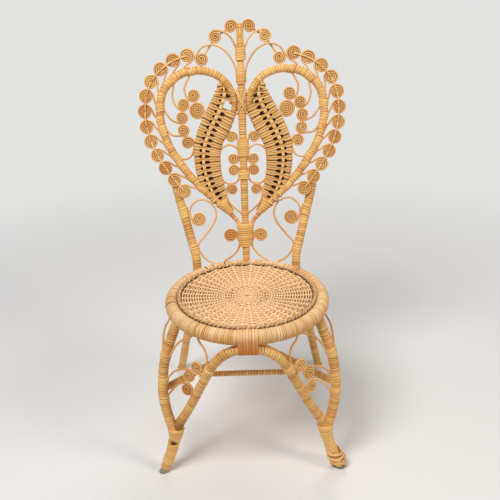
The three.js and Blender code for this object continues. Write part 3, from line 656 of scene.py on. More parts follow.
braid = {
    "radius": 142.6, "height": 351.6, "thick": 2.3, "wide": 2.3, "swing": 2.0, "turns": 48, "steps": 10,
    "sides": 9, "tones": (0.7, 0.12), "toneSpread": 0.15, "patches": 60, "patchRate": 9, "flank": 0.6,
    "seam": 0.4, "seamStep": 0.2, "seamSwing": 0.8, "seamLeast": 0.36,
}
braidShadeBed = {**shadeSheet, "inset": 1, "drop": 2, "thick": 0.5, "wide": 4, "every": 5, "tone": 0.3, "shade": 0.9}
seatKnot = {
    "reach": 6.5, "rise": 3.4, "fall": 3, "half": 1.5, "thick": 0.8, "places": (-3, 0, 3), "stops": 9,
    "sides": 8, "tone": (0.5, 0.8), "flank": (0.6, 0.6),
}
knotShadeBed = {**shadeSheet, "radius": 4, "wide": 5, "stops": 24, "shade": 0.5}


def panelHeight(radius):
    return panel["edgeHeight"] - panel["dish"] * (1 - (radius / panel["lastRow"]) ** 2)


def roundStrand(line, shape, tone, seam, wide=None):
    wide = shape["wide"] if wide is None else wide
    return tubeShell(line, shape["thick"], upward, shape["sides"], wide, closed=True, tone=tone, seam=seam)


def spokeShells():
    shells = []
    for index in range(spoke["count"]):
        angle = math.radians(spoke["turn"]) + 2 * math.pi * index / spoke["count"]
        radii = np.linspace(spoke["starts"][index % 2], braid["radius"] - spoke["tuck"], spoke["stops"])
        line = np.column_stack([radii * math.cos(angle), radii * math.sin(angle), panelHeight(radii)])
        thick = spoke["radius"] + spoke["swell"] * math.sin(angle) ** 2
        thick = thick - spoke["taper"] * np.clip(1 - radii / spoke["taperWithin"], 0, 1)
        tone = rng.uniform(*spoke["tone"])
        shells.append(tubeShell(line, thick[:, None], upward, spoke["sides"], tone=tone))
        line = line - (0, 0, underSide["drop"])
        seam = paintedFlankShade(spoke["sides"], *underSide["spokeFlank"])
        size = (underSide["spokeThick"], upward, spoke["sides"], underSide["spokeWide"])
        shells.append(tubeShell(line, *size, tone=underSide["spokeTone"], seam=seam))
    return shells


def rowShells():
    shells = []
    for row, radius in enumerate(np.arange(panel["firstRow"], panel["lastRow"], panel["pitch"])):
        crossings = spoke["count"] if radius > spoke["halfWithin"] else spoke["count"] // 2
        turn = fullTurn(crossings * strand["steps"])
        weave = np.cos((turn - math.radians(spoke["turn"])) * crossings / 2 + math.pi * row)
        ripple = strand["ripple"] * np.sin(turn * strand["ripples"] + row)
        reach = radius + rng.normal(0, strand["drift"]) + ripple
        line = flatRing(turn, reach, panelHeight(radius) + strand["wave"] * weave)
        tone = strand["tone"] + strand["toneSpread"] * rng.normal()
        tone = tone + strand["toneSpread"] * np.sin(turn + row * strand["toneStep"])
        # painted highlight: the tone is raised where the row crosses a spoke; the next line paints shade on
        # its underside
        tone = np.clip(tone + strand["crown"] * weave ** 2, 0, 1)[:, None]
        seam = paintedUnderShade(strand["sides"], strand["under"])
        wide = (strand["wide"] + strand["swell"] * np.sin(turn) ** 4)[:, None]
        shells.append(roundStrand(line, strand, tone, seam, wide))
        # a second copy of the row below, its flanks painted in shade
        line[:, 2] = panelHeight(radius) - underSide["drop"] + underSide["wave"] * weave
        seam = paintedFlankShade(underSide["sides"], *underSide["flank"])
        line, tone = line[::underSide["every"]], tone[::underSide["every"]]
        shells.append(roundStrand(line, underSide, tone, seam))
        # the dark sheet under each gap between rows is painted shade: dark on top, less so at the front and
        # back
        turn = turn[::shadeSheet["every"]]
        line = flatRing(turn, radius + panel["pitch"] / 2, panelHeight(radius) - shadeSheet["drop"])
        seam = (1 - shadeSheet["lit"] * np.sin(turn) ** 4)[:, None] * facingOut(shadeSheet["sides"])
        shells.append(roundStrand(line, shadeSheet, shadeSheet["tone"], seam))
    return shells


def braidShells():
    turn = fullTurn(braid["turns"] * braid["steps"])
    # a dark bed of painted shade under the braid
    bedRadius, bedHeight = braid["radius"] - braidShadeBed["inset"], panel["edgeHeight"] - braidShadeBed["drop"]
    line = flatRing(turn[::braidShadeBed["every"]], bedRadius, bedHeight)
    shells = [roundStrand(line, braidShadeBed, braidShadeBed["tone"], braidShadeBed["shade"])]
    for index, shade in enumerate(braid["tones"]):
        twist = turn * braid["turns"] + math.pi * index
        reach = braid["radius"] + braid["swing"] * np.cos(twist)
        line = flatRing(turn, reach, braid["height"] + braid["swing"] * np.sin(twist))
        patches = np.arange(braid["patches"])
        drift = np.interp(turn * braid["patchRate"], patches, rng.normal(0, 1, braid["patches"]))
        tone = np.clip(shade + braid["toneSpread"] * drift, 0, 1)[:, None]
        # painted shade where each strand twists down under the other
        seam = braid["seam"] + braid["seamStep"] * index - braid["seamSwing"] * np.sin(twist)
        seam = np.clip(seam, braid["seamLeast"], 1)[:, None]
        seam = np.maximum(seam, paintedFlankShade(braid["sides"], braid["flank"]))
        shells.append(roundStrand(line, braid, tone, seam))
    return shells


def seatKnotShells():
    # a dark bed of painted shade under the knot
    line = flatRing(fullTurn(knotShadeBed["stops"]), knotShadeBed["radius"], panelHeight(0) - knotShadeBed["drop"])
    shells = [roundStrand(line, knotShadeBed, knotShadeBed["tone"], knotShadeBed["shade"])]
    for across in seatKnot["places"]:
        x = np.linspace(-1, 1, seatKnot["stops"])
        rise = panelHeight(0) + seatKnot["rise"] - seatKnot["fall"] * np.abs(x) ** 3
        line = np.column_stack([seatKnot["reach"] * x, np.full(len(x), across), rise])
        shells.append(strandShell(line, seatKnot, upward))
    return shells


weaveShells = spokeShells() + rowShells() + braidShells() + seatKnotShells()
buildPiece("seatWeave", weaveShells, weaveFinish, ["seat_panel"])
print("seat woven")

# leaves of the back: ribs, pairs of cane strips wound from rib to rib, and a chain of knots over the spine
leaf = {
    "outerRadius": 5.25, "ribSides": 14, "pitch": 13.0, "margin": 12, "footMargin": 4,
    "reachLimit": 40, "radiusLimit": 9, "behind": 3.8, "spread": (0.7, 1.35),
    "outer": [(41, 421), (53, 391), (80, 341), (100, 293), (104, 256), (99, 212), (86, 174)],
    "outerFoot": [(70, 158, 0, 7), (53, 143, 0, 6.5)],
    "spine": [
        (41, 419), (38, 388), (49.5, 355), (73, 312), (88, 268), (88, 229), (78, 189), (63, 158), (54, 145),
    ],
    "brokenBars": [3], "brokenLining": [2, 3], "tuckedBars": 3,
}
strip = {
    "thick": 0.8, "thinned": 0.7, "fill": 0.98, "narrow": 1.9, "out": 0.6, "sides": 10, "tone": 0.6,
    "toneSpread": 0.15, "flank": (1.0, 0.3), "outerFlank": 2.4, "innerFlank": 0.5, "slotInner": 12.5,
    "slotOuter": 8, "slotRamp": 2.5, "slotLeast": 2, "turns": (-90, -45, 0, 45, 90),
    "tuckIn": 0.8, "tuckDown": 0.4,
}
leafLining = {
    "drop": 2.2, "share": 0.58, "stops": 8, "sides": 10, "tone": (0.4, 0.8), "shade": 1.2, "brokenFrom": 3,
}
knot = {
    "half": 4.8, "wide": 4.4, "thick": 1.8, "out": 2.0, "rise": 0.6, "stops": 9, "sides": 12, "round": 1.03,
    "tone": (0.6, 0.95), "flank": (1.0, 0.84), "endShade": 0.9, "least": 3, "fullFrom": 14,
}
cord = {"half": 2.3, "thick": 0.9, "out": 0.9, "sides": 8, "tone": 0.7, "flank": (1.0, 0.3)}


def crossing(line, start, way):
    found = (1e9, 0.0)
    for a, b in zip(line, line[1:]):
        edge, gap = (b - a)[:2], a[:2] - start[:2]
        turn = way[0] * edge[1] - way[1] * edge[0]
        reach = (gap[0] * edge[1] - gap[1] * edge[0]) / turn
        share = (gap[0] * way[1] - gap[1] * way[0]) / turn
        if reach > 0 and 0 <= share <= 1:
            found = min(found, (reach, a[3] + share * (b[3] - a[3])))
    return min(found[0], leaf["reachLimit"]), min(found[1], leaf["radiusLimit"])


def slotSteps(slot, edge, radius, spread):
    slot = min(slot, edge - 1)
    ramp, rim = slot + strip["slotRamp"], edge + radius
    wide = leaf["pitch"] / 4 * (1 + (spread - 1) * (ramp / rim))
    steps = [(ramp, wide), (slot, strip["narrow"])] if slot > strip["slotLeast"] else []
    lift = radius - strip["out"]
    return [(at, shift, strip["out"] + lift * min(1, at / rim)) for at, shift in steps]


def rimSpread(spine, tangent, along, mark, reach):
    marks = np.clip((mark - leaf["pitch"], mark + leaf["pitch"]), 0, along[-1] - 1)
    i, j = (int(np.searchsorted(along, at)) for at in marks)
    ends = [spine[k][:2] + np.array([tangent[k][1], -tangent[k][0]]) * reach for k in (i, j)]
    return float(np.clip(np.linalg.norm(ends[1] - ends[0]) / (along[j] - along[i]), *leaf["spread"]))


def barShell(bar, hand, side):
    thick, quarter, narrow = strip["thick"], leaf["pitch"] / 4, strip["narrow"]
    (toInner, innerRadius), (toOuter, outerRadius) = bar["inner"], bar["outer"]
    innerTurn, outerTurn = innerRadius + thick, outerRadius + thick
    innerWide, outerWide = (quarter * spread for spread in bar["spreads"])
    turns = np.radians(strip["turns"])
    behind, middle = (0, quarter, -leaf["behind"]), (0, narrow, strip["out"])
    path, edgeLift = [behind], innerTurn
    path += [(toInner + innerTurn * math.cos(a), innerWide, innerTurn * math.sin(a)) for a in turns]
    if bar["tucked"]:  # these strips end behind the bow instead of passing over it
        inward, down = innerRadius * strip["tuckIn"], innerRadius * strip["tuckDown"]
        path = [(toInner, innerWide, -innerRadius), (toInner - inward, innerWide, -down)]
        edgeLift = strip["out"]
    path += slotSteps(strip["slotInner"], toInner - innerTurn, edgeLift, bar["spreads"][0])
    path = [middle] if bar["broken"] else path + [middle]
    steps = slotSteps(strip["slotOuter"], toOuter - outerTurn, outerTurn, bar["spreads"][1])
    path += [(-at, shift, out) for at, shift, out in steps[::-1]]
    path += [(-toOuter - outerTurn * math.cos(a), outerWide, outerTurn * math.sin(a)) for a in turns[::-1]]
    path.append(behind)
    flat = [
        bar["middle"] + bar["way"] * reach + bar["ahead"] * (shift * hand) + (0, 0, out)
        for reach, shift, out in path
    ]
    halves = [strip["fill"] * shift for _, shift, _ in path]
    line = smoothLine(withRadius(onPlane(backPlane, flat, side), halves))
    # painted shade on the strip's flanks, heavier on the outer flank
    outerFlank = np.sin(fullTurn(strip["sides"])) * hand * side > 0
    seam = paintedFlankShade(strip["sides"], *strip["flank"])
    seam = seam * np.where(outerFlank, strip["outerFlank"], strip["innerFlank"])
    tone = np.clip(rng.normal(strip["tone"], strip["toneSpread"]), 0, 1)
    thick = np.interp(line[:, 3], (narrow, quarter), (thick, strip["thinned"] * thick))[:, None]
    facing = backOut if bar["broken"] else -backOut
    return tubeShell(line, thick, facing, strip["sides"], line[:, 3:], tone=tone, seam=seam)


def liningShell(gap, side):
    (toInner, innerRadius), (toOuter, outerRadius) = gap["inner"], gap["outer"]
    start = leafLining["brokenFrom"] if gap["broken"] else toInner - innerRadius * 0.5
    reach = np.linspace(start, -toOuter + outerRadius * 0.5, leafLining["stops"])
    flat = gap["middle"] + reach[:, None] * gap["way"]
    flat[:, 2] = -leafLining["drop"]
    # the lining's face toward the front is painted in shade
    tone, seam = rng.uniform(*leafLining["tone"]), facingOut(leafLining["sides"]) * leafLining["shade"]
    size = (strip["thick"], backOut, leafLining["sides"], leaf["pitch"] * leafLining["share"])
    return tubeShell(onPlane(backPlane, flat, side), *size, tone=tone, seam=seam)


def knotShell(gap, side):
    size = min(1, (gap["outer"][0] - knot["least"]) / knot["fullFrom"])
    share = np.linspace(-1, 1, knot["stops"])
    crown = np.sqrt(knot["round"] - share ** 4)
    flat = gap["middle"] + share[:, None] * gap["ahead"] * knot["half"]
    flat[:, 2] = knot["out"] * (1 - knot["rise"] + knot["rise"] * crown)
    tall, wide = knot["thick"] * crown[:, None], knot["wide"] * size * crown[:, None]
    seam = paintedFlankShade(knot["sides"], *knot["flank"])
    seam = np.maximum(seam, knot["endShade"] * np.abs(share[:, None]) ** 8)
    looks = {"tone": rng.uniform(*knot["tone"]), "seam": seam}
    return tubeShell(onPlane(backPlane, flat, side), tall, backOut, knot["sides"], wide, **looks)


def leafShells(side):
    spine = smoothLine([(u, v, 0) for u, v in leaf["spine"]], gap=1.5)
    outerStops = [(u, v, 0, leaf["outerRadius"]) for u, v in leaf["outer"]] + leaf["outerFoot"]
    outer = smoothLine(outerStops, gap=3)
    inner = smoothLine([(u, v, 0, radius) for u, v, radius in bow["stops"][bow["crest"]:]], gap=3)
    along = lineLength(spine)
    tangent, _, _ = lineFrames(spine, upward)

    def placeAt(mark):
        k = int(np.searchsorted(along, mark))
        way = np.array([tangent[k][1], -tangent[k][0], 0])
        ends = {"inner": crossing(inner, spine[k], way), "outer": crossing(outer, spine[k], -way)}
        return {"middle": spine[k], "ahead": tangent[k], "way": way, **ends}

    shells = []
    for index, mark in enumerate(np.arange(leaf["margin"], along[-1] - leaf["footMargin"], leaf["pitch"])):
        bar, gap = placeAt(mark), placeAt(min(mark + leaf["pitch"] / 2, along[-1] - 1))
        reaches = (bar["inner"][0], -bar["outer"][0])
        bar["spreads"] = [rimSpread(spine, tangent, along, mark, reach) for reach in reaches]
        bar["broken"] = side < 0 and index in leaf["brokenBars"]
        gap["broken"] = side < 0 and index in leaf["brokenLining"]
        bar["tucked"] = index < leaf["tuckedBars"]
        shells += [barShell(bar, hand, side) for hand in (-1, 1)]
        shells += [liningShell(gap, side), knotShell(gap, side)]
    spine[:, 2] = cord["out"]
    looks = {"tone": cord["tone"], "seam": paintedFlankShade(cord["sides"], *cord["flank"])}
    size = (cord["thick"], backOut, cord["sides"], cord["half"])
    return shells + [tubeShell(onPlane(backPlane, spine, side), *size, **looks)]


for side, name in bothSides:
    rib = withRadius(onPlane(backPlane, leaf["outer"], side), leaf["outerRadius"])
    shells = [woundShell(rib, poleCane, backOut, leaf["ribSides"])]
    buildSided("leafRibCane", "leaf_rib", name, shells, poleFinish)
    buildSided("leafWeave", "leaf_weave", name, leafShells(side), leafFinish)
print("leaves woven")

# reed scrolls
reed = {
    "radius": 2.2, "woundRadius": 2.25, "pitch": 4.4, "nestle": 0.5, "sides": 16, "gap": 1.6,
    "turnStops": 12, "eye": 0.3, "eyeDrop": 0.5, "eyeStops": 5, "eyeShade": 0.9, "flank": (1.7, 0.42),
    "patch": 14, "unevenness": 0.03, "tone": 0.5, "toneSpread": 0.16, "toneDrift": 0.13,
}
scrollRadius = {"small": 12.4, "medium": 13.6, "large": 15.5, "post": 16.4, "leaf": 17.8}


def makeScroll(size, centre, start, stem, spin=-1):
    return {"size": size, "centre": centre, "start": start, "stem": stem, "spin": spin}


def scrollStops(scroll):
    u, v, out = (tuple(scroll["centre"]) + (0.0,))[:3]
    radius = scrollRadius[scroll["size"]]
    turns = (radius - reed["eye"]) / reed["pitch"]
    stops = [tuple(stop) for stop in scroll["stem"]]
    for step in range(int(turns * reed["turnStops"]) + 1):
        angle = math.radians(scroll["start"] + scroll["spin"] * 360 / reed["turnStops"] * step)
        reach = radius - reed["pitch"] * step / reed["turnStops"]
        stops.append((u + reach * math.cos(angle), v + reach * math.sin(angle), out))
    return stops + [(u, v, out - reed["eyeDrop"])]


def reedShell(points, upright, stem=None, inward=1):
    stem = len(points) if stem is None else stem
    order = np.arange(len(points))
    radii = np.where(order < stem, reed["radius"], reed["woundRadius"])
    wound, covered = order >= stem, order >= stem + reed["turnStops"]
    eye = wound & (order > len(points) - reed["eyeStops"])
    line = smoothLine(np.column_stack([points, radii, wound, covered, eye]), reed["gap"])
    thickness = line[:, 3] * (1 + slowDrift(len(line), reed["patch"], reed["unevenness"]))
    tone = rng.normal(reed["tone"], reed["toneSpread"])
    tone = tone + slowDrift(len(line), reed["patch"], reed["toneDrift"])
    # painted shade on the flanks where turns lie against each other, and a painted dark eye at the centre
    facing = np.sin(fullTurn(reed["sides"])) * inward > 0
    seam = paintedFlankShade(reed["sides"], *reed["flank"]) * np.where(facing, line[:, 4:5], line[:, 5:6])
    looks = {"tone": np.clip(tone, 0, 1)[:, None], "seam": np.maximum(seam, reed["eyeShade"] * line[:, 6:])}
    return tubeShell(line, thickness[:, None], upright, reed["sides"], **looks)


def scrollShell(plane, scroll, side):
    points = onPlane(plane, scrollStops(scroll), side)
    return reedShell(points, plane["out"] * (side, 1, 1), len(scroll["stem"]), -side * scroll["spin"])


def besidePole(height, turn=0):
    reach = poleRadiusAt(height) + reed["radius"] - reed["nestle"]
    angle = math.radians(turn)
    return reach * math.cos(angle), height, reach * math.sin(angle)


def fromRing(x, across=0, rise=0, out=0):
    seat = toPlane(backPlane, (x, math.sqrt(ringRadius ** 2 - x ** 2), seatHeight))
    return tuple(a + b for a, b in zip(seat, (across, rise, out)))


def besidePost(height):
    u, _, out = toPlane(backPlane, pointAtHeight(postLine, seatHeight + height * math.cos(lean))[:3])
    return u - post["radius"] - reed["radius"] + reed["nestle"], height, out


# scrolls along the outside of the bow, and the chain reed that ties them
border = {
    "count": 12, "offset": 33, "first": 8.35, "last": 3.42, "samples": 121, "start": 112,
    "stem": [(21, 33), (12, 24), (3, 18)],
}
chain = {
    "half": 2.2, "thick": 0.8, "tuck": 4, "stand": 1, "endShare": 0.2, "sides": 10, "tone": (0.5, 1),
    "flank": (0.9, 0.5),
}


def borderLine():
    dense = smoothLine(bowFlat, gap=1.0)
    along = lineLength(dense)
    stopMarks = [along[np.argmin(np.linalg.norm(dense[:, :2] - stop[:2], axis=1))] for stop in bowFlat]
    spans = np.linspace(border["first"], border["last"], border["samples"])
    line = sampleLine(dense, np.interp(spans, np.arange(len(bowFlat)), stopMarks))
    tangent, _, _ = lineFrames(line, upward)
    return line + border["offset"] * np.column_stack([-tangent[:, 1], tangent[:, 0], np.zeros(len(line))])


def borderScrolls():
    line = borderLine()
    length = lineLength(line)[-1]
    scrolls = []
    for mark in np.linspace(0, length, border["count"]):
        middle, ahead = sampleLine(line, [mark, min(mark + 1, length)])
        if mark == length:
            middle, ahead = sampleLine(line, [length - 1, length])
        down = unit(ahead - middle)
        centre = sampleLine(line, [mark])[0]
        left = np.array([down[1], -down[0]])
        stem = [tuple(centre[:2] + down[:2] * a + left * b) for a, b in border["stem"]]
        start = math.degrees(math.atan2(down[1], down[0])) - border["start"]
        scrolls.append(makeScroll("large", centre[:2], start, stem))
    return scrolls


def tieShell(one, two, lift, side):
    one, two = np.array(one[:2]), np.array(two[:2])
    tuck, low = unit(two - one) * chain["tuck"], lift * chain["endShare"]
    stops = [(*one, low), (*(one + tuck), lift), (*(two - tuck), lift), (*two, low)]
    line = smoothLine(onPlane(backPlane, stops, side), gap=3)
    return strandShell(line, chain, backOut)


borderRow = borderScrolls()

# the other scrolls of the back: size, eye, angle where the spiral starts, and stops of the stem
crownTop = max(v for _, v, _ in bow["stops"])
poleTop = pole["stops"][-1][0]
centreReedReach = besidePole(222)[0] + scrollRadius["small"]
backScrolls = {
    "finial_scroll": makeScroll("medium", (19.2, poleTop - 7, 2.5), 184, [
        besidePole(crownTop + 24, 40), besidePole(crownTop + 48, 35), besidePole(poleTop - 25, 30),
    ]),
    "shoulder_scroll": makeScroll("medium", (53, crownTop + 70), 104, [
        besidePole(crownTop + 24, -22), besidePole(crownTop + 40, -18), (12, crownTop + 52, -1),
        (21, crownTop + 69), (36, crownTop + 80),
    ]),
    "crown_scroll": makeScroll("medium", (84, crownTop + 25), 30, [
        besidePole(crownTop - 26), besidePole(crownTop - 6), (17, crownTop + 18), (36, crownTop + 43),
        (60, crownTop + 54), (84, crownTop + 48),
    ]),
    "centre_reed_upper": makeScroll("small", (25, 296), 192, [besidePole(268), besidePole(284)]),
    "centre_reed_arched": makeScroll("small", (centreReedReach, 249), 180, [
        (58, 258), (49, 270), (38, 278), (26, 279), (15, 272), besidePole(261),
    ], spin=1),
    "centre_reed_dipped": makeScroll("small", (centreReedReach, 222), 180, [
        (57, 210), (48, 200), (33, 192), (17, 196), besidePole(207),
    ]),
    "leaf_foot_reed": makeScroll("small", (27.5, 179, 2), -8, [
        (6, 122), (13, 129, 3), (24, 139, 7), (34, 151, 8), (39.5, 165, 5),
    ], spin=1),
    "post_scroll": makeScroll("post", (106, 114), -12, [
        fromRing(66), fromRing(66, 8, 15, 0), fromRing(66, 20, 19, -5), fromRing(66, 31, 28, -5),
        besidePost(40), besidePost(54), (92, 76, 2), (72, 103), (66, 128), (78, 150), (101, 158),
        (121, 145), (126, 126),
    ]),
    "base_scroll": makeScroll("large", (34.5, 73), 194, [
        fromRing(54), fromRing(54, -6, 17, -4), fromRing(54, -15, 22, -6), fromRing(54, -29, 33, -8),
        (pole["radius"] + 8, 45), (pole["radius"] + 6.3, 57),
    ]),
}
lobeRow = [
    makeScroll("medium", (129, 370), -48, [(150, 422), (149, 406), (152, 390), (147, 370)]),
    makeScroll("medium", (134, 342), -62, [(181, 374), (171, 357), (157, 338)]),
    makeScroll("medium", (132, 314), -62, [(178, 331), (168, 316), (156, 304)]),
    makeScroll("medium", (122.5, 286), 188, [(156, 258), (144, 252), (130, 250), (118, 255), (111, 267)]),
]
lobePair = [
    makeScroll("medium", (106, 389), -46, [(106, 440), (117, 422), (125, 404), (121, 386)]),
    makeScroll("leaf", (98, 357), -112, [(75, 350), (83, 343)], spin=1),
]

# scrolls and arcs in the corner between the front leg and the arch
flank = {"drop": 26, "front": 20, "turn": 0.53, "tilt": 0.2, "out": 5, "arcHeight": 236}
flankPlane = makePlane(
    (legTop[0], legTop[1] - flank["front"], seatHeight - flank["drop"]), (1, flank["turn"], 0),
    (flank["turn"], -1, flank["tilt"]),
)


def legOnFlank(height):
    return toPlane(flankPlane, pointAtHeight(legLine, height)[:3])


def ringOnFlank(degrees):
    return toPlane(flankPlane, ringPoint(-degrees))


archScrolls = [
    makeScroll("medium", (-49.5, -59, flank["out"]), -112, [
        ringOnFlank(50), (-51, -4, 3), (-64, -17, 4), (-71, -34, 5), (-70.5, -51, 5), (-64, -66, 5),
    ], spin=1),
    makeScroll("medium", (-30.5, -82, flank["out"]), 78, [
        legOnFlank(196), (21, -103, 2), (4, -82, 4), (-12, -73, 5),
    ], spin=1),
    makeScroll("medium", (-28, -112, flank["out"]), 74, [
        legOnFlank(160), (19, -141, 2), (4, -119, 4), (-11, -103, 5),
    ], spin=1),
]
seatArc = onPlane(flankPlane, [
    legOnFlank(flank["arcHeight"]), (19, -56), (13, -43), (3, -25), (-13, -9), (-31, 1), ringOnFlank(52),
])
sideArc = np.array([
    pointAtHeight(legLine, flank["arcHeight"])[:3], (legTop[0] + 35, legTop[1] + 2, 282),
    (legTop[0] + 31, legTop[1] + 16, 306), (legTop[0] + 21, legTop[1] + 29, 322), ringPoint(-14),
])
for side, name in bothSides:
    for key, scroll in backScrolls.items():
        buildSided(f"{key}Reed", key, name, [scrollShell(backPlane, scroll, side)], reedFinish)
    shells = [scrollShell(backPlane, scroll, side) for scroll in borderRow]
    eyes = [scroll["centre"] for scroll in borderRow]
    stand = reed["radius"] + chain["stand"]
    shells += [tieShell(one, two, stand, side) for one, two in zip(eyes, eyes[1:])]
    crownEyes = [backScrolls[key]["centre"] for key in ("crown_scroll", "shoulder_scroll", "finial_scroll")]
    crownPairs = zip(eyes[:1] + crownEyes, crownEyes)
    shells += [tieShell(one, two, -stand, side) for one, two in crownPairs]
    buildSided("borderReeds", "border_scrolls", name, shells, reedFinish)
    for label, node, plane, group in (
        ("lobeRowReeds", "lobe_scroll_row", backPlane, lobeRow),
        ("lobePairReeds", "lobe_scroll_pair", backPlane, lobePair),
        ("archReeds", "arch_scrolls", flankPlane, archScrolls),
    ):
        shells = [scrollShell(plane, scroll, side) for scroll in group]
        buildSided(label, node, name, shells, reedFinish)
    shells = [reedShell(mirrored(seatArc, side), forward)]
    buildSided("seatArcReed", "seat_arc", name, shells, reedFinish)
    shells = [reedShell(mirrored(sideArc, side), sideways)]
    buildSided("sideArcReed", "side_arc", name, shells, reedFinish)
print("reeds bent")

# lashings
lashCane = {
    "width": 5.4, "unevenness": 0.14, "groove": 0.5, "swell": 0.14, "tone": 0.76, "toneSpread": 0.16,
    "slant": 0.9, "openness": (0.5, 1.2), "endShade": 0.25, "gaping": 0.3,
}
frontCane = {**lashCane, "tone": 0.8, "toneSpread": 0.06}
lash = {"wrap": 1.6, "reed": 1.8, "sides": 24}


def lashHalf(height, reeds=2):
    return poleRadiusAt(height) + reeds * lash["reed"] + lash["wrap"]


poleLashings = {  # heights on the pole and half widths there
    "heart_base_lashing": [(47, lashHalf(47) + 2), (66, lashHalf(66) + 3.5), (100, pole["radius"] + 12)],
    "centre_lashing_lower": [(height, lashHalf(height)) for height in (203, 217)],
    "centre_lashing_upper": [(height, lashHalf(height)) for height in (254, 274, 290)],
    "crown_lashing": [(crownTop - 30, lashHalf(crownTop - 30, reeds=0)), (crownTop, lashHalf(crownTop))],
    "shoulder_lashing": [(height, lashHalf(height)) for height in (crownTop + 20, crownTop + 46)],
}
for node, rows in poleLashings.items():
    points = onPlane(backPlane, [(0, v) for v, _ in rows])
    depth = [poleRadiusAt(v) + lash["wrap"] + lash["reed"] for v, _ in rows]
    stops = np.column_stack([points, [half for _, half in rows], depth])
    buildPiece(f"{node}Cane", [woundShell(stops, lashCane, sideways, lash["sides"])], lashFinish, [node])

strap = {
    "middle": 372, "rise": 20, "half": 2.1, "thick": 1.5, "apart": 4, "crown": 9.4, "shoulder": 6,
    "over": 0.5, "gap": 1.5, "sides": 10, "tone": (0.6, 0.95), "flank": (1.3, 0.4),
}
strapHalf = [  # across the pole, down, and out
    (pole["radius"] / 3, strap["rise"] / 4, strap["crown"]),
    (pole["radius"] - 1, strap["rise"] * 0.75, strap["shoulder"]),
    (pole["radius"] + 2, strap["rise"] + 3, 0),
]
strapStops = [(-u, strap["middle"] + fall, out) for u, fall, out in strapHalf[::-1]]
strapStops += [(u, strap["middle"] - fall, out) for u, fall, out in strapHalf]
shells = []
for side, _ in bothSides:
    for shift in (-strap["apart"], strap["apart"]):
        stops = [(u, v + shift, out + strap["over"] * (side > 0)) for u, v, out in strapStops]
        line = smoothLine(onPlane(backPlane, stops, side), strap["gap"])
        shells.append(strandShell(line, strap, backOut))
buildPiece("heartCrossingCane", shells, lashFinish, ["heart_crossing_lashing"])

leafFoot = {"line": [(31, 125), (41, 137), (52, 152)], "deep": [9, 10.5, 10.5], "half": [8, 12, 17]}
for side, name in bothSides:
    points = onPlane(backPlane, leafFoot["line"], side)
    stops = np.column_stack([points, leafFoot["deep"], leafFoot["half"]])
    shells = [woundShell(stops, lashCane, backOut, lash["sides"])]
    buildSided("leafFootCane", "leaf_foot_binding", name, shells, lashFinish)

footLash = {
    "heights": [98, 84, 66, 44, 22], "shift": [6, 3, 0.5, 0, 0],
    "worn": {"middle": 0.36, "half": 0.065, "facing": 0.06, "reach": 0.15, "radius": 10.9},
}
for side, name in bothSides:
    rows = []
    for height, shift in zip(footLash["heights"], footLash["shift"]):
        x, y, z = pointAtHeight(legLine, height)[:3]
        rows.append(((x - shift) * side, y, z, leg["radius"] + lash["wrap"] + shift))
    worn = footLash["worn"] if side < 0 else None
    shells = [woundShell(np.array(rows), lashCane, forward, lash["sides"], worn=worn)]
    buildSided("footLashingCane", "foot_lashing", name, shells, lashFinish)

seatLash = {
    "width": 39, "upper": ringTube - 0.6, "lower": arch["radius"] + 2.4, "columns": 40,
    "shadeBetween": (-14, 8), "shades": (0.72, -0.05),
}


def seatLashShell():
    drop = seatHeight - archApex
    slope = math.asin((seatLash["lower"] - seatLash["upper"]) / drop)
    half = seatLash["columns"] // 2
    top = np.linspace(slope, math.pi - slope, half)
    low = np.linspace(math.pi - slope, 2 * math.pi + slope, half)
    outline = [(math.cos(a), math.sin(a), seatLash["upper"], 0) for a in top]
    outline += [(math.cos(a), math.sin(a), seatLash["lower"], -drop) for a in low]
    marks, dip, tone, seam = windMarks(seatLash["width"], frontCane)
    grid = np.array([
        [(x, -ringRadius + c * (r + d), seatHeight + fall + s * (r + d)) for c, s, r, fall in outline]
        for x, d in zip(marks - seatLash["width"] / 2, dip)
    ])
    heights = [s * r + fall for _, s, r, fall in outline]
    shade = np.interp(heights, seatLash["shadeBetween"], seatLash["shades"])
    return gridShell(grid, tone=tone[:, None] - shade, seam=seam[:, None])


buildPiece("seatFrontCane", [seatLashShell()], frontFinish, ["seat_front_lashing"])

# loose cane round the right foot: open loops and a few ends that stand off
fray = {
    "seed": 4, "half": 2.3, "thick": 0.6, "sides": 8, "tone": (0.5, 1), "seam": 0.1, "rise": (10, 40),
    "loops": 14, "stand": (2.5, 9.0), "opened": 330, "stops": 24, "tilt": (-0.35, 0.35), "outward": 2.5,
    "lowest": 2, "ends": 5, "reach": (8, 15), "curl": (-12, 10), "endLowest": 3,
    "path": [(6, 0, -9, 0), (12, 0, -8, 0.1), (12, 0.6, -6, 0.6), (10, 1, -8, 1)],
}
frayRng = np.random.default_rng(fray["seed"])


def looseStrand(line):
    looks = {"tone": frayRng.uniform(*fray["tone"]), "seam": fray["seam"]}
    return tubeShell(line, fray["half"], upward, fray["sides"], fray["thick"], **looks)


def looseLoop():
    x, y, z = pointAtHeight(legLine, frayRng.uniform(*fray["rise"]))[:3]
    wide = leg["radius"] + frayRng.uniform(*fray["stand"])
    turn = np.radians(np.linspace(0, fray["opened"], fray["stops"])) + frayRng.uniform(0, 2 * math.pi)
    tilt = frayRng.uniform(*fray["tilt"], 2)
    rise = z + wide * (tilt[0] * np.cos(turn) + tilt[1] * np.sin(turn))
    loop = flatRing(turn, wide, np.maximum(rise, fray["lowest"])) + (x + fray["outward"], y, 0)
    return looseStrand(loop)


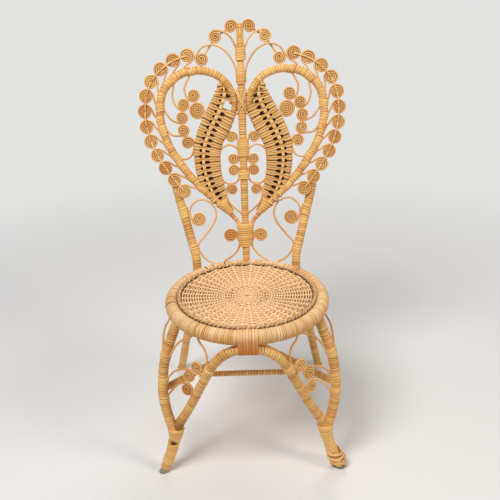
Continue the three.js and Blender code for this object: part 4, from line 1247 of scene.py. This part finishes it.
def looseEnd():
    x, y, z = pointAtHeight(legLine, frayRng.uniform(*fray["rise"]))[:3]
    out, curl = frayRng.uniform(*fray["reach"]), frayRng.uniform(*fray["curl"])
    stops = [
        (x + across + out * share, y + ahead, max(z + curl * bend, fray["endLowest"]))
        for across, share, ahead, bend in fray["path"]
    ]
    return looseStrand(smoothLine(stops))


frayShells = [looseLoop() for _ in range(fray["loops"])] + [looseEnd() for _ in range(fray["ends"])]
buildPiece("frayedCane", frayShells, leafFinish)

# short sleeves of cane where a reed runs in under the winding of a pole, or lies against it
sleeve = {
    "length": 17, "clear": 1.2, "marks": [0, 0.35, 0.7, 1], "shift": [1.5, 1.2, 0.7, 0.2],
    "stand": [0.6, 0.5, 0.4, 0.1], "sideStand": 1.0, "postRises": (46, 124), "postLength": 24,
    "archHeight": 258, "archLength": 14, "archFacing": (0.6, -0.8, 0),
}


def entrySleeve(poleLine, reedLine):
    gaps = np.linalg.norm(reedLine[:, None, :3] - poleLine[None, :, :3], axis=2)
    nearest = gaps.argmin(axis=1)
    i = int(np.argmax(gaps.min(axis=1) > poleLine[nearest, 3] + sleeve["clear"]))
    j = nearest[i]
    tangent = unit(poleLine[min(j + 1, len(poleLine) - 1), :3] - poleLine[max(j - 1, 0), :3])
    towards = reedLine[i, :3] - poleLine[j, :3]
    towards = unit(towards - tangent * (towards @ tangent))
    ahead = 1 if (reedLine[0, :3] - reedLine[i, :3]) @ tangent >= 0 else -1
    marks = lineLength(poleLine)[j] + ahead * sleeve["length"] * np.array(sleeve["marks"])
    stops = sampleLine(poleLine, marks)
    stops[:, :3] += towards * np.array(sleeve["shift"])[:, None]
    stops[:, 3] += sleeve["stand"]
    return woundShell(stops, lashCane, towards)


def sideSleeve(poleLine, height, towards, length):
    middle = lineLength(poleLine)[np.argmin(np.abs(poleLine[:, 2] - height))]
    stops = sampleLine(poleLine, middle + length * np.array([-0.5, 0, 0.5]))
    stops[:, :3] += np.array(towards) * sleeve["shift"][0]
    stops[:, 3] += sleeve["sideStand"]
    return woundShell(stops, lashCane, towards)


bowLine = smoothLine(withRadius(onPlane(backPlane, bowFlat), bowRadii), gap=1.5)
bowScrolls = borderRow + lobeRow + lobePair[:1]
sleevePlaces = [(bowLine, onPlane(backPlane, scrollStops(scroll))) for scroll in bowScrolls]
sleevePlaces += [(legLine, onPlane(flankPlane, scrollStops(scroll))) for scroll in archScrolls[1:]]
sleevePlaces += [(legLine, seatArc), (legLine, sideArc)]
for side, name in bothSides:
    shells = []
    for poleLine, points in sleevePlaces:
        shells.append(entrySleeve(mirrored(poleLine, side), mirrored(smoothLine(points, gap=1), side)))
    for rise in sleeve["postRises"]:
        height = seatHeight + rise
        shells.append(sideSleeve(mirrored(postLine, side), height, (-side, 0, 0), sleeve["postLength"]))
    archSide = mirrored(archLine[len(archLine) // 2:], side)
    facing = mirrored([sleeve["archFacing"]], side)[0]
    shells.append(sideSleeve(archSide, sleeve["archHeight"], facing, sleeve["archLength"]))
    buildPiece(f"reedSleeves.{name}", shells, lashFinish)
print("lashings wound")

# floor, light and camera
stage = {
    "size": 12, "floor": (0.82, 0.815, 0.805), "dim": 0.97, "backdrop": (0.77, 0.765, 0.755),
    "sky": (0.18, 0.19, 0.21), "solidTo": 0.6, "goneBy": 2.1, "roughness": 0.8,
}
bpy.ops.mesh.primitive_plane_add(size=stage["size"])
floor = bpy.context.object
floor.name = "studioFloor"
floorMaterial = bpy.data.materials.new("pale floor")
floorMaterial.use_nodes = True
floorTree = floorMaterial.node_tree
floorShader = floorTree.nodes["Principled BSDF"].inputs
floorPlace = addNode(floorTree, "ShaderNodeTexCoord").outputs["Object"]
floorNoise = noise(floorTree, floorPlace, Scale=3.0, Detail=4.0)
floorPale, floorDim = (*stage["floor"], 1), (*(c * stage["dim"] for c in stage["floor"]), 1)
floorTree.links.new(mixColour(floorTree, floorNoise, floorPale, floorDim), floorShader["Base Color"])
floorReach = addNode(floorTree, "ShaderNodeVectorMath", [(0, floorPlace)], operation="LENGTH")
floorFade = addNode(
    floorTree, "ShaderNodeMapRange", [("Value", floorReach.outputs["Value"])],
    interpolation_type="SMOOTHSTEP", From_Min=stage["solidTo"], From_Max=stage["goneBy"],
    To_Min=1.0, To_Max=0.0,
)
floorTree.links.new(floorFade.outputs[0], floorShader["Alpha"])
floorShader["Roughness"].default_value = stage["roughness"]
floor.data.materials.append(floorMaterial)


def addLamp(name, place, target, size, energy, colour=(1, 0.97, 0.93)):
    data = bpy.data.lights.new(name, "AREA")
    data.shape, data.size, data.energy, data.color = "DISK", size, energy, colour
    lamp = bpy.data.objects.new(name, data)
    lamp.location = place
    lamp.rotation_euler = (Vector(target) - Vector(place)).to_track_quat("-Z", "Y").to_euler()
    scene.collection.objects.link(lamp)


addLamp("keyLight", (-1.0, -1.1, 2.5), (0, 0, 0.45), size=1.3, energy=50, colour=(1, 0.98, 0.96))
addLamp("sideLight", (1.9, -0.9, 1.6), (0, 0, 0.5), size=0.8, energy=20, colour=(1, 0.93, 0.83))
addLamp("rimLight", (0.4, 1.9, 2.4), (0, 0.1, 0.5), size=1.2, energy=20)
world = bpy.data.worlds.new("studioSky")
scene.world = world
world.use_nodes = True
sky = world.node_tree
rays = addNode(sky, "ShaderNodeLightPath").outputs
seen = mathNode(sky, "MAXIMUM", rays["Is Camera Ray"], rays["Is Glossy Ray"])
seen = mathNode(sky, "MAXIMUM", seen, rays["Is Transmission Ray"])
skyColour = mixColour(sky, seen, (*stage["sky"], 1), (*stage["backdrop"], 1))
sky.links.new(skyColour, sky.nodes["Background"].inputs["Color"])

view = {"place": (9, -1191, 980), "pitch": 24, "roll": 1.6, "focal": 640, "frame": 500, "sensor": 36}
cameraData = bpy.data.cameras.new("photoView")
cameraData.sensor_width = view["sensor"]
cameraData.lens = view["focal"] / view["frame"] * view["sensor"]
camera = bpy.data.objects.new("photoView", cameraData)
tilt = Matrix.Rotation(math.radians(90 - view["pitch"]), 4, "X")
roll = Matrix.Rotation(math.radians(-view["roll"]), 4, "Z")
camera.matrix_world = Matrix.Translation(Vector((np.array(view["place"]) + partShift) * mm)) @ tilt @ roll
scene.collection.objects.link(camera)
scene.camera = camera
scene.view_settings.view_transform = "Standard"
print("stage set")
